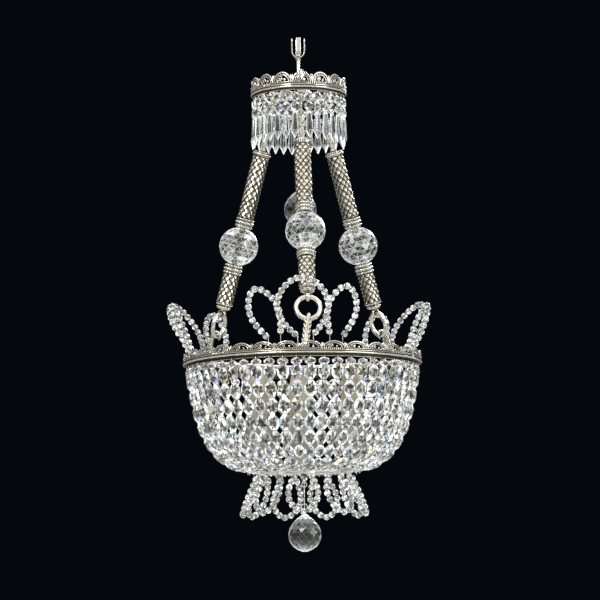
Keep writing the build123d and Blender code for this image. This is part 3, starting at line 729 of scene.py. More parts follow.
@dataclass(frozen=True)
class CutGlass:
    """Cut and polished crystal with painted facet light and a painted white glow towards its
    outline.
    """

    name: str
    # strength of the painted flashes
    flash: float
    spark: float
    # strength of the painted white glow at the outline
    rim: float
    index: float = 1.55

    def build(self, groups: dict[str, bpy.types.NodeTree]) -> bpy.types.Material:
        """Material of this finish."""
        material = bpy.data.materials.new(self.name)
        tree, shader = tree_of(material)
        cut = node(tree, "Group", {"node_tree": groups["facets"]}, Flash=self.flash,
                   Spark=self.spark).outputs
        # painted highlight: white glow, stronger towards the outline
        facing = node(tree, "LayerWeight", Blend=0.5).outputs["Facing"]
        edge = node(tree, "MapRange", in0=facing, in1=0.62, in2=1.0, in3=0.0, in4=self.rim)
        glow = blend(tree, edge.outputs[0], cut["Glow"], (0.9, 0.93, 0.96, 1))
        fill(tree, shader, Transmission_Weight=0.9, IOR=self.index, Emission_Strength=1.0,
             Base_Color=cut["Color"], Emission_Color=glow, Roughness=cut["Roughness"])
        return material


@dataclass(frozen=True)
class Satin:
    """Ivory candle plastic or frosted bulb glass, with faint mottling."""

    name: str
    colour: Colour
    shade: Colour
    roughness: float
    transmission: float = 0.0

    def build(self) -> bpy.types.Material:
        """Material of this finish."""
        material = bpy.data.materials.new(self.name)
        tree, shader = tree_of(material)
        place = node(tree, "TexCoord").outputs["Object"]
        mottle = node(tree, "TexNoise", Vector=place, Scale=60.0, Detail=4.0)
        colour = ramp(tree, mottle.outputs["Fac"], ((0.35, self.colour), (0.7, self.shade)))
        rough = node(tree, "MapRange", in0=mottle.outputs["Fac"], in3=self.roughness - 0.08,
                     in4=self.roughness + 0.08)
        bump = node(tree, "Bump", Strength=0.1, Distance=0.0003, Height=mottle.outputs["Fac"])
        fill(tree, shader, Transmission_Weight=self.transmission, Base_Color=colour,
             Roughness=rough.outputs[0], Normal=bump.outputs[0])
        return material


class Finishes:
    """All materials, built once."""

    def __init__(self) -> None:
        """Builds the node groups and then each finish."""
        groups = {"painted_shade": painted_shade_group(), "facets": painted_facet_light_group()}
        # brown: the painted shade in the metals' recesses; the amounts set how strong it is
        white, silver, brown = (1.0, 0.985, 0.94), (0.97, 0.95, 0.9), (0.085, 0.065, 0.03)
        olive, dull, pale = (0.66, 0.6, 0.43), (0.8, 0.76, 0.64), (0.8, 0.77, 0.68)
        self.cast = Metal("cast_silver", white, olive, brown, 1.7, 0.1).build(groups)
        self.plain = Metal("plain_silver", silver, dull, brown, 0.8, 0.16).build(groups)
        self.wire = Metal("silver_wire", silver, pale, brown, 0.4, 0.2).build(groups)
        # glass: strengths of the painted flash, sparkle colour and outline glow
        self.strand = CutGlass("strand_crystal", 0.85, 1.0, 0.05).build(groups)
        self.prism = CutGlass("prism_crystal", 0.75, 0.8, 0.12).build(groups)
        self.bead = CutGlass("bead_crystal", 1.0, 0.3, 0.6).build(groups)
        self.ball = CutGlass("ball_crystal", 0.6, 0.3, 0.4).build(groups)
        self.pear = CutGlass("pear_crystal", 1.0, 0.6, 0.9).build(groups)
        ivory, aged = (0.6, 0.55, 0.4), (0.46, 0.41, 0.28)
        self.ivory = Satin("ivory_sleeve", ivory, aged, 0.4).build()
        milky, smoky = (0.62, 0.61, 0.56), (0.5, 0.48, 0.43)
        self.frosted = Satin("frosted_bulb", milky, smoky, 0.3, 0.85).build()

    def dress_frame(self) -> None:
        """Gives every CAD node the finish of its slot, for those that stay showing."""
        for part in frame["record"]["subparts"]:
            chosen = {
                Slot.METAL.value: self.plain, Slot.CRYSTAL.value: self.strand,
                Slot.BULB.value: self.frosted, Slot.IVORY.value: self.ivory,
            }[part["material_slot"]]
            mesh = frame["nodes"][part["node"]].data
            mesh.materials.clear()
            mesh.materials.append(chosen)


def piece(name: str, net: Net, finish: bpy.types.Material, replaced: Sequence[str] = (),
          body: str = BODY, stray: float = 0.5) -> bpy.types.Object:
    """Makes a Blender object from a net and ties it to its body.

    Args:
        name: name of the piece.
        net: its surface in millimetres.
        finish: its material.
        replaced: CAD nodes that it stands for.
        body: the body that it rides on.
        stray: how far a facet's painted brightness strays from its shape's.

    Returns:
        The new object; every face carries its painted brightness, a little off its net's, and a
        random number that picks the colour of its painted sparkle.
    """
    mesh = bpy.data.meshes.new(name)
    mesh.vertices.add(len(net.points))
    mesh.vertices.foreach_set("co", (net.points * MM).ravel())
    mesh.loops.add(len(net.corners))
    mesh.loops.foreach_set("vertex_index", net.corners.astype(np.int32))
    mesh.polygons.add(len(net.sizes))
    starts = np.concatenate([[0], np.cumsum(net.sizes)[:-1]]).astype(np.int32)
    mesh.polygons.foreach_set("loop_start", starts)
    mesh.polygons.foreach_set("use_smooth", net.smooth.astype(bool))
    mesh.update(calc_edges=True)
    mesh.validate()
    shape = bmesh.new()
    shape.from_mesh(mesh)
    bmesh.ops.recalc_face_normals(shape, faces=shape.faces)
    shape.to_mesh(mesh)
    shape.free()
    count = len(mesh.polygons)
    chance = np.random.default_rng(SEED + count + len(name))
    shine = net.shine if len(net.shine) == count else np.full(count, 0.5)
    shine = np.clip(shine + stray * (2 * chance.random(count) - 1), 0, 1)
    for label, value in (("facet", shine), ("spark", chance.random(count))):
        mesh.attributes.new(name=label, type="FLOAT", domain="FACE").data.foreach_set(
            "value", value.astype(np.float32))
    depth = mesh.attributes.new(name="tone", type="FLOAT", domain="POINT")
    depth.data.foreach_set("value", net.tone.astype(np.float32))
    mesh.materials.append(finish)
    thing = bpy.data.objects.new(name, mesh)
    bpy.context.collection.objects.link(thing)
    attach(thing, body)
    if replaced:
        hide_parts(*replaced)
    LOG.info("%s: %d faces on %s", name, count, body)
    return thing


# --- crown and rim ------------------------------------------------------------------
@dataclass
class ScrollGallery:
    """Pierced ring of scrolls on a moulded lip, with a plain hoop below it.

    Args:
        label: crown or rim, as in the CAD nodes' names.
        radius: outside of the lip.
        lip: drop of the lip's upper face.
        height: height of the scrolls.
        count: scrolls round the ring.
        dots: beads of the moulding round the ring.
        hoop_radius: outside of the hoop.
        hoop_height: height of the hoop below the lip.
    """

    label: str
    radius: float
    lip: float
    height: float
    count: int
    dots: int
    hoop_radius: float
    hoop_height: float
    lip_height: float = 3.3
    wall: float = 1.5
    set_back: float = 1.5
    sides: int = 144

    @property
    def face(self) -> float:
        """Radius of the scrolls' front."""
        return self.radius - self.set_back

    @property
    def half(self) -> float:
        """Half the arc of one scroll."""
        return math.pi * self.face / self.count

    @property
    def reach(self) -> float:
        """Half width of an arch."""
        return 0.9 * self.half

    @property
    def foot(self) -> float:
        """Height of the moulding under the scrolls."""
        return 0.24 * self.height

    @property
    def rise(self) -> float:
        """Height of an arch over the moulding."""
        return 0.95 * (self.height - self.foot)

    def band(self) -> Net:
        """Arch of three lines: each is a half ellipse, a share of the outer one's size."""
        turn = np.radians(np.linspace(-8, 188, 20))
        nets = []
        for share, radius, depth in ((1.0, 0.055, 0.0), (0.86, 0.028, -0.7), (0.74, 0.036, -0.2)):
            path = np.stack([
                share * self.reach * np.cos(turn),
                self.foot + share * self.rise * np.sin(turn),
                np.full(turn.shape, depth - 0.6),
            ], axis=-1)
            nets.append(tube(path, radius * self.height, 6, (0, 0, 1), flat=0.9))
        return joined(nets)

    def ribs(self) -> Net:
        """Short ribs across the arch, from its inner line to its outer one."""
        turn = np.radians(np.linspace(20, 160, 8))
        nets = []
        for angle in turn:
            ends = np.array([0.74, 0.96])
            path = np.stack([ends * self.reach * math.cos(angle),
                             self.foot + ends * self.rise * math.sin(angle),
                             [-0.9, -0.7]], axis=-1)
            nets.append(tube(path, np.array([0.022, 0.04]) * self.height, 4, (0, 0, 1)))
        return joined(nets)

    def volute(self) -> Net:
        """Spiral inside the arch: its radius shrinks evenly over one turn and a half."""
        turn = np.linspace(-0.3, 1.2, 24) * 2 * np.pi
        radius = np.linspace(0.42, 0.1, 24) * self.rise
        centre = np.array([-0.3 * self.reach, self.foot + 0.33 * self.rise])
        path = np.stack([
            centre[0] - radius * np.cos(turn), centre[1] + radius * np.sin(turn),
            np.linspace(-1.0, -0.3, 24),
        ], axis=-1)
        thick = np.linspace(0.055, 0.035, 24) * self.height
        eye = brilliant((0.05, 0.1, 0.1, 0.05), (-0.1, -0.04, 0.04, 0.1), 6)
        eye = eye.mapped(lambda points: points * self.height + [centre[0], centre[1], -0.5])
        return joined([tube(path, thick, 5, (0, 0, 1)), eye])

    def lobes(self, leans: Sequence[float], length: float, root: tuple[float, float]) -> Net:
        """Leaf of fanned lobes, each swollen as the sine of the way along it.

        Args:
            leans: lean of each lobe's tip from upright, in degrees.
            length: length of an upright lobe.
            root: place where the lobes meet.

        Returns:
            The leaf in the gallery's flat.
        """
        along = np.linspace(0, 1, 7)
        nets = []
        for lean in leans:
            reach = length * (1 - 0.004 * abs(lean))
            tilt = np.radians(lean * along)
            step = np.stack([np.sin(tilt), np.cos(tilt)], axis=-1) * reach / 6
            path = np.cumsum(step, axis=0) - step[0]
            path = np.concatenate([path, (0.7 * along**2 - 1.0)[:, None]], axis=-1)
            path += [*root, 0]
            thick = self.height * (0.016 + 0.062 * np.sin(np.pi * along**0.8))
            nets.append(tube(path, thick, 6, (0, 0, 1), flat=0.8))
        return joined(nets)

    def leaves(self) -> Net:
        """Tuft between two arches and two small lobes inside an arch."""
        tuft = self.lobes((-44, -16, 16, 44), 0.58 * self.height, (self.half, 0.28 * self.height))
        spray = self.lobes((24, 62), 0.34 * self.height, (0.22 * self.reach, self.foot))
        return joined([tuft, spray])

    def bent(self, net: Net) -> Net:
        """The net bent round the ring: x is the arc, z the distance outside the face."""

        def bend(points: Array) -> Array:
            """Turns x into azimuth and z into radius."""
            turn = np.degrees(points[:, 0] / self.face)
            return polar(self.face + points[:, 2], turn, points[:, 1] - self.lip)

        return net.mapped(bend)

    def gallery(self) -> Net:
        """All scrolls, the pierced strip behind their feet and the dotted moulding."""
        module = self.bent(joined([self.band(), self.ribs(), self.volute(), self.leaves()]))
        ring = module.at(turns(spread(self.count)))
        foot, face = self.foot, self.face
        base = lathe(np.array([
            (face - 2.0, 0.0), (face + 0.3, 0.0), (face + 0.5, 0.16 * foot),
            (face + 0.3, 0.34 * foot), (face - 0.5, 0.42 * foot), (face - 0.5, 0.86 * foot),
            (face + 0.1, 0.94 * foot), (face - 0.3, 1.12 * foot), (face - 2.0, 1.12 * foot),
        ]) - [0, self.lip], self.sides, hollow=True)
        # tone: painted shade on the hollow rows of the base
        base = base.toned(np.repeat([0.9, 0.1, 0.0, 0.1, 0.8, 0.8, 0.1, 0.2, 0.9], self.sides))
        dot = brilliant((0.3, 0.85, 0.85, 0.3), (-0.85, -0.3, 0.3, 0.85), 6)
        middle = [face - 0.1, 0, 0.64 * foot - self.lip]
        dot = dot.mapped(lambda points: points * 0.25 * foot + middle)
        dots = dot.at(turns(spread(self.dots, 0.0)))
        return joined([ring, base, dots])

    def crest(self) -> Net:
        """Taller leaf in the middle of the front scroll."""
        leans = (-62, -38, -16, 0, 16, 38, 62)
        leaf = self.lobes(leans, 0.86 * self.height, (0.0, 0.3 * self.height))
        return self.bent(leaf.mapped(lambda points: points + [0, 0, 0.9])).at(turns([FRONT]))

    def hoop(self) -> Net:
        """Lip with a rounded edge and a hoop with one groove, turned as one outline."""
        top, under = -self.lip, -self.lip - self.lip_height
        end = under - self.hoop_height
        outer, skirt = self.radius, self.hoop_radius
        bore = skirt - self.wall
        mid = self.hoop_height
        # each row: radius, height and tone; the tone sets the painted shade, deep in the bore and
        # the groove, none on the lip's outer edge
        rows = np.array([
            (bore, top, 0.8), (bore, end, 0.8), (skirt - 0.3, end, 0.4), (skirt, end + 0.3, 0.25),
            (skirt, end + 0.16 * mid, 0.4), (skirt - 0.5, end + 0.26 * mid, 0.9),
            (skirt - 0.5, under - 0.6, 0.9), (skirt + 0.2, under, 0.95),
            (outer - 2.1, under + 0.1, 0.9), (outer - 1.2, under + 0.35, 0.1),
            (outer - 0.5, under + 0.85, 0.0), (outer, under + 1.6, 0.0),
            (outer - 0.8, under + 2.1, 0.0), (outer - 1.5, under + 2.45, 0.05),
            (outer - 2.0, under + 2.6, 0.8), (outer - 1.8, top - 0.2, 0.4), (outer - 2.0, top, 0.3),
        ])
        return lathe(rows[:, :2], self.sides, hollow=True).toned(np.repeat(rows[:, 2], self.sides))

    def strand_wires(self, azimuths: Array, end: float) -> Net:
        """Thin wires from the lip down over the hoop to each strand."""
        levels = np.linspace(-end, -self.lip - self.lip_height, 4)
        path = in_plane(self.hoop_radius + 0.4, levels)
        return tube(path, 0.4, 5, (0, 1, 0)).at(turns(azimuths))

    def build(self, finishes: Finishes) -> None:
        """Makes the gallery and the hoop."""
        nets = [self.gallery()] + ([self.crest()] if self.label == "crown" else [])
        for name, net, finish, cad in (
            ("scrolls", joined(nets), finishes.cast, "gallery"),
            ("lip_and_hoop", self.hoop(), finishes.plain, "hoop"),
        ):
            piece(f"{self.label}_{name}", net, finish, [f"{self.label}_{cad}"])


def octagon_row(azimuths: Array, radius: float, height: float, size: Sequence[float]) -> Net:
    """Octagons of one size round the axis, facing outwards."""
    place = turns(azimuths + 90)
    place[:, :3, 3] = polar(radius, azimuths, height)
    return octagon().mapped(lambda points: points * size).at(place)


@dataclass
class RimStrandTops:
    """Wires over the rim's hoop and the small crystals between it and the first full row."""

    strands: int = 54
    radius: float = 144.45
    start: float = 419.4
    size: tuple[float, float, float] = (13.4, 5.6, 8.4)
    row_top: float = 428.6

    def build(self, rim: ScrollGallery, finishes: Finishes) -> None:
        """Makes the wires and the crystals, one for each strand."""
        azimuths = spread(self.strands)
        wires = rim.strand_wires(azimuths, self.row_top)
        piece("rim_strand_wires", wires, finishes.wire)
        small = octagon_row(azimuths, self.radius, -self.start - self.size[2] / 2, self.size)
        piece("rim_top_octagons", small, finishes.strand)


@dataclass
class RingCrystals:
    """Small octagons hung close together over the bottom ring, where the strands end."""

    count: int = 54
    radius: float = 60.6
    height: float = -546.6
    size: tuple[float, float, float] = (6.9, 3.4, 7.0)

    def build(self, finishes: Finishes) -> None:
        """Makes the row of crystals."""
        small = octagon_row(spread(self.count), self.radius, self.height, self.size)
        piece("bottom_ring_octagons", small, finishes.strand)


@dataclass
class Crystals:
    """Octagon crystals of one CAD node, and the wire links between them."""

    node: str
    link_length: float = 4.4
    link_wire: float = 0.4

    def frames(self) -> Array:
        """Frame of each crystal with its width, thickness and height as the axes' lengths.

        The thinnest of the three corner axes is the thickness; of the other two, the one
        nearer to the direction round the chandelier is the width.
        """
        corners = np.stack([solid for solid in solids_of(self.node) if len(solid) == 6])
        middle = corners.mean(axis=1)
        arms = corners - middle[:, None]
        length = np.linalg.norm(arms, axis=2)
        round_it = unit(np.stack([-middle[:, 1], middle[:, 0], np.zeros(len(middle))], axis=-1)
                        + [1e-6, 0, 0])
        along = np.abs(np.einsum("nij,nj->ni", arms, round_it)) / length
        pick = np.arange(len(corners))
        across = arms[pick, along.argmax(axis=1)]
        steep = np.abs(arms[:, :, 2]) - 2.0 * along * length
        up = arms[pick, steep.argmax(axis=1)]
        across *= np.sign(np.einsum("nj,nj->n", across, round_it))[:, None]
        up *= np.sign(up[:, 2])[:, None]
        sizes = 2 * np.stack([
            np.linalg.norm(across, axis=1), length.min(axis=1), np.linalg.norm(up, axis=1),
        ], axis=-1)
        return frames_at(middle, unit(across), unit(up), sizes)

    def links(self, frames: Array) -> Net:
        """Short wire at the top and the foot of each crystal, along its height."""
        half = self.link_length / 2
        link = tube(in_plane(0, np.linspace(-half, half, 3)), self.link_wire, 5, (0, 1, 0))
        height = np.linalg.norm(frames[:, :3, 2], axis=1)
        plain = frames.copy()
        plain[:, :3, :3] /= np.linalg.norm(frames[:, :3, :3], axis=1, keepdims=True)
        nets = []
        for side in (-0.5, 0.5):
            moved = plain.copy()
            moved[:, :3, 3] += side * height[:, None] * plain[:, :3, 2]
            nets.append(link.at(moved))
        return joined(nets)

    def build(self, finishes: Finishes) -> None:
        """Makes the crystals and the links."""
        frames = self.frames()
        LOG.info("%s: %d crystals, widths %.1f to %.1f mm", self.node, len(frames),
                 *np.percentile(np.linalg.norm(frames[:, :3, 0], axis=1), [0, 100]))
        cut = frames.copy()
        cut[:, :3, 2] *= 0.97
        crystals = octagon().at(cut)
        piece(f"{self.node}_octagons", crystals, finishes.strand, [self.node])
        piece(f"{self.node}_links", self.links(frames), finishes.wire)


@dataclass
class Prisms:
    """Thirty spear prisms, each on a body of its own."""

    count: int = 30
    width: float = 10.8
    thick: float = 7.0
    edge: tuple[float, float] = (0.4, 0.62)
    eye: tuple[float, float] = (1.7, 1.9)
    eye_wire: float = 0.35

    def shape(self) -> Net:
        """Spear of ten-sided sections, from a cut head to the shoulder and then to a point.

        Each section is a table, two bevels and an edge on either side, times its half width
        and half depth; the edges get a painted flash and the tables painted shade.
        """
        stations = np.array([0.2, 1.6, 3.4, 26.2, 35.9])
        widths = np.array([0.22, 0.46, 0.52, 0.99, 0.05]) * self.width / 2
        depths = np.array([0.26, 0.5, 0.64, 0.98, 0.06]) * self.thick / 2
        across = np.array([0.34, 0.76, 1.0, 0.76, 0.34, -0.34, -0.76, -1.0, -0.76, -0.34])
        through = np.array([1.0, 0.55, 0.0, -0.55, -1.0, -1.0, -0.55, 0.0, 0.55, 1.0])
        points = np.stack([
            depths[:, None] * through, widths[:, None] * across,
            np.repeat(-stations[:, None], 10, axis=1),
        ], axis=-1)
        body = np.array([0.12, 0.42, 0.42, 0.12, 0.05, 0.12, 0.42, 0.42, 0.12, 0.05])
        head = np.full(10, 0.6)
        tip = np.array([0.3, 0.7, 0.7, 0.3, 0.2, 0.3, 0.7, 0.7, 0.3, 0.2])
        shine = np.concatenate([head, head, body, tip, [0.7, 0.7]])
        return edged(sheet(points, smooth=False).shone(shine), *self.edge)

    def ring(self) -> Net:
        """Wire eye through the prism's top, a closed circle across it."""
        path = circle(self.eye, 12, (0, 0, 0.2))
        return tube(path, self.eye_wire, 5, (0, 1, 0), closed=True)

    def build(self, finishes: Finishes) -> None:
        """Makes each prism at its hinge, leaning as its CAD node does."""
        joints = frame["record"]["behaviour"]["joints"]
        places = {joint["child"]: joint["pos_m"] for joint in joints}
        for number in range(1, self.count + 1):
            body, cad = f"prism_{number:02d}", f"crown_prism_{number:02d}"
            pivot = np.array(places[body]) / MM
            corners = solids_of(cad)[0]
            order = corners[:, 2].argsort()
            up = unit(corners[order[-6:]].mean(axis=0) - corners[order[:6]].mean(axis=0))
            out = unit(np.array([pivot[0], pivot[1], 0.0]))
            along = np.cross(up, out)
            place = frames_at(pivot[None], np.cross(along, up)[None], up[None])
            piece(f"{cad}_cut", self.shape().at(place), finishes.prism, [cad], body)
            piece(f"{cad}_eye", self.ring().at(place), finishes.wire, body=body)


# --- arms ----------------------------------------------------------------------------
@dataclass
class Arms:
    """Three cast arms with scaled sleeves, glass balls, collars and rings."""

    top: tuple[float, float] = (42.27, -102.75)
    ring_middle: tuple[float, float] = (118.05, -356.16)
    eye_station: float = -161.0
    core: float = 3.5
    sleeve: float = 11.15
    groove: float = 8.9
    rows: int = 8
    scale_pitch: float = 9.4
    sleeve_end: float = 77.0
    hoop_inside: float = 143.7
    hook_tilt: float = 9.0
    ball: float = 25.0
    ball_half: float = 23.5
    collar: float = 12.2
    ring_mid: float = 14.75
    ring_wire: float = 2.75
    eye: float = 4.9
    eye_wire: float = 1.5
    lug_radius: float = 4.6
    ball_bore: float = 5.4
    ball_edge: tuple[float, float] = (0.45, 0.5)
    sides: int = 96

    def plane(self) -> Array:
        """Frame of one arm in the plane y = 0: origin at the ball's middle, z up the arm."""
        start = np.array([self.top[0], 0, self.top[1]])
        run = np.array([self.ring_middle[0], 0, self.ring_middle[1]]) - start
        up = -run / np.linalg.norm(run)
        out = np.cross([0.0, 1.0, 0.0], up)
        middle = start + self.eye_station * up
        return frames_at(middle[None], out[None], up[None])[0]

    @property
    def ring_station(self) -> float:
        """Distance from the ball's middle down to the ring's."""
        run = np.subtract(self.ring_middle, self.top)
        return float(np.linalg.norm(run)) + self.eye_station

    def scaled(self, low: float, high: float) -> Net:
        """Sleeve of overlapping pointed scales.

        Two families of spirals cut the cylinder into lozenges; p and q run from 0 to 1
        between neighbours of each family.  A scale rises from its hidden top to its tip with
        the mean of p and q, is ridged along its middle by one less their difference, and
        drops at the tip's two edges to the scales below.
        """
        steps = round((high - low) / self.scale_pitch * 14)
        height = np.linspace(low, high, steps)[:, None]
        turn = np.linspace(0, 2 * np.pi, self.sides, endpoint=False)[None]
        round_it = turn * self.rows / (2 * np.pi)
        down = -height / self.scale_pitch
        p, q = (down + round_it) % 1, (down - round_it) % 1
        lift = (0.02 + 0.98 * ((p + q) / 2) ** 1.2) * (1 - 0.45 * np.abs(p - q) ** 1.4)
        fade = np.clip(np.minimum(height - low, high - height) / 1.2, 0, 1)
        radius = self.groove + (self.sleeve - self.groove) * lift * (0.3 + 0.7 * fade)
        points = np.stack([radius * np.cos(turn), radius * np.sin(turn),
                           np.repeat(height, self.sides, axis=1)], axis=-1)
        # tone: painted shade where the scales lie low
        return sheet(points).toned(np.clip(1.1 - 1.9 * lift, 0, 1))

    def turned(self, profile: Sequence[tuple[float, float]], flutes: int = 0,
               depth: float = 0.0) -> Net:
        """Turned collar; flutes make the radius shrink with the square of a half-turn's sine."""
        turn = np.linspace(0, 2 * np.pi, 64, endpoint=False)[None]
        wave = 1 - depth * np.sin(flutes * turn / 2) ** 2 if flutes else np.ones(turn.shape)
        return lathe(np.array(sorted(profile, key=lambda row: row[1])), 64,
                     np.repeat(wave, len(profile), axis=0))

    def neck(self) -> Net:
        """Fluted neck with rings, the core rod through the whole arm and the eye on top."""
        low, high = 125.0, 155.5
        height = np.linspace(low, high, 48)
        radius = 4.4 * (0.86 + 0.14 * np.cos((height - low) / (high - low) * 6 * np.pi))
        fluted = self.turned(list(zip(radius, height)), 9, 0.16)
        rod = lathe(np.array([(self.core, -84.5), (self.core, 125.5)]), 20)
        eye = circle(self.eye, 32, (0, 0, -self.eye_station), axis=1)
        return joined([fluted, rod, tube(eye, self.eye_wire, 10, (1, 0, 0), closed=True)])

    def lug(self) -> Net:
        """Cast lug round the lower ring: a thick eye, wider than the rod, in the radial plane."""
        top = -(self.ring_station - self.ring_mid)
        path = circle(self.lug_radius, 28, (0, 0, top))
        stem = lathe(np.array([(3.4, top + 3.5), (3.0, top + 6.5)]), 20)
        return joined([tube(path, 1.05, 8, (0, 1, 0), closed=True, flat=2.2), stem])

    def collars(self) -> Net:
        """Upper collar and the two ringed cups beside the ball."""
        full = self.collar
        upper = self.turned([
            (0.55 * full, 124.5), (0.86 * full, 124.3), (0.9 * full, 123.4), (0.8 * full, 122.6),
            (full, 121.6), (full, 120.4), (0.84 * full, 119.6), (0.9 * full, 118.6),
            (0.84 * full, 118.0),
        ], 16, 0.05)
        cup = [
            (0.6 * full, 36.2), (0.93 * full, 36.0), (0.97 * full, 35.2), (0.93 * full, 34.2),
            (0.82 * full, 33.6), (0.82 * full, 32.6), (0.96 * full, 31.8), (1.0 * full, 30.6),
            (0.96 * full, 29.4), (0.8 * full, 28.8), (0.84 * full, 27.4), (0.98 * full, 26.6),
            (0.9 * full, 25.2), (0.72 * full, 24.0),
        ]
        below = self.turned([(radius, -height) for radius, height in cup], 14, 0.06)
        return joined([upper, self.turned(cup, 14, 0.06), below])

    def end_collar(self) -> Net:
        """Fluted collar between the lower sleeve and the ring."""
        end = self.sleeve_end
        return self.turned([
            (10.4, -end + 1.4), (11.0, -end + 0.6), (9.6, -end - 0.4), (7.6, -end - 1.2),
            (7.4, -end - 1.8), (9.0, -end - 2.6), (9.4, -end - 3.6), (8.4, -end - 4.6),
            (7.0, -end - 5.2), (6.6, -end - 6.0),
        ], 10, 0.14)

    def crystal_ball(self) -> Net:
        """Cut ball with a bored middle: rings of facets outside, a plain bore inside."""
        steep = math.sin(math.radians(74))
        latitude = np.radians(np.linspace(-74, 74, 11))
        # painted brightness of each ring of facets, flash and shade
        shines = (0.7, 0.3, 0.55, 0.2, 0.4, 0.4, 0.2, 0.55, 0.3, 0.7)
        cut = brilliant(self.ball * np.cos(latitude), self.ball_half * np.sin(latitude) / steep, 14,
                        shines, bore=self.ball_bore)
        return edged(cut, *self.ball_edge)

    def ring(self) -> Net:
        """Smooth round ring that joins the arm to its hook."""
        path = circle(self.ring_mid, 56, (0, 0, -self.ring_station), axis=1)
        return tube(path, self.ring_wire, 14, (1, 0, 0), closed=True)

    def hook_line(self) -> Array:
        """Middle line of a hook in the plane y = 0: up from the hoop and over the ring's wire."""
        one = self.plane()
        out, up = one[:3, 0], one[:3, 2]
        wire = one[:3, 3] - (self.ring_station + self.ring_mid) * up
        turn = np.radians(np.arange(0, 231, 15))[:, None]
        over = wire + 5.6 * (np.cos(turn) * out + np.sin(turn) * up)
        leg = over[0] - np.array([[34.0], [20.0], [8.0]]) * up
        foot = np.array([[self.hoop_inside - 2.2, 0, -423.0], [self.hoop_inside - 2.4, 0, -414.0]])
        return np.concatenate([foot, leg, over])

    def lobe(self) -> Net:
        """Pointed leaf lobe of unit length, swollen as a sine, with its root at the origin."""
        along = np.linspace(0.02, 1.0, 7)
        return lathe(np.stack([0.24 * np.sin(np.pi * along**0.7) + 0.02, along], axis=-1), 8)

    def hook(self) -> Net:
        """Cast hook: tapering bar, leaf lobes along both edges of its leg and a curl outside."""
        line = curve(self.hook_line(), 60)
        share = np.linspace(0, 1, 60)
        thick = 1.8 + 1.2 * np.sin(np.pi * np.clip(share * 1.3, 0, 1)) * (1 - 0.5 * share)
        thick = thick * np.clip((1.02 - share) / 0.12, 0.3, 1)
        bar = tube(line, thick, 10, (0, 1, 0), flat=1.25)
        ahead = unit(np.gradient(line, axis=0))
        nets = [bar]
        lobe = self.lobe()
        for side in (-1.0, 1.0):
            at = np.arange(5, 40, 5)
            splay = unit(ahead[at] + [0, side * 0.5, 0])
            square = unit(np.cross(np.cross(splay, [0, 0, 1.0]), splay))
            sizes = np.broadcast_to([7.0, 8.5, 9.0], (len(at), 3))
            nets.append(lobe.at(frames_at(line[at] + [0, side * 0.8, 0], square, splay, sizes)))
        turn = np.linspace(0, 1.6, 30) * 2 * np.pi
        radius = np.linspace(4.8, 1.3, 30)
        centre = line[12] + [5.2, 0, 3.0]
        curl = in_plane(centre[0] - radius * np.cos(turn), centre[2] + radius * np.sin(turn))
        nets.append(tube(curl, np.linspace(1.5, 0.9, 30), 8, (0, 1, 0), flat=1.6))
        whole = joined(nets)
        pivot = line[-9]
        tilt = math.radians(self.hook_tilt)

        def lean(points: Array) -> Array:
            """Turns the hook about the outward direction through the ring's wire."""
            y, z = points[:, 1], points[:, 2] - pivot[2]
            return np.stack([points[:, 0], y * math.cos(tilt) + z * math.sin(tilt),
                             pivot[2] + z * math.cos(tilt) - y * math.sin(tilt)], axis=-1)

        return whole.mapped(lean)

    def build(self, finishes: Finishes) -> None:
        """Makes each kind of arm piece, three at a time."""
        around = thirds()
        place = around @ self.plane()
        sleeves = joined([self.scaled(36.2, 118.0), self.scaled(-self.sleeve_end, -36.2)])
        for name, net, finish, slot, replaced in (
            ("arm_sleeve_scales", sleeves, finishes.cast, Slot.METAL, ["arm_sleeves"]),
            ("arm_rods_and_necks", joined([self.neck(), self.lug()]), finishes.cast, Slot.METAL,
             ["arm_rods"]),
            ("arm_collars_turned", self.collars(), finishes.cast, Slot.METAL, ["arm_collars"]),
            ("arm_end_collars", self.end_collar(), finishes.cast, Slot.METAL, ["end_collars"]),
            ("arm_crystal_balls", self.crystal_ball(), finishes.ball, Slot.CRYSTAL, ["arm_balls"]),
            ("arm_rings_round", self.ring(), finishes.plain, Slot.METAL, ["arm_rings"]),
        ):
            piece(name, net.at(place), finish, replaced)
        piece("arm_hooks_cast", self.hook().at(around), finishes.cast, ["arm_hooks"])


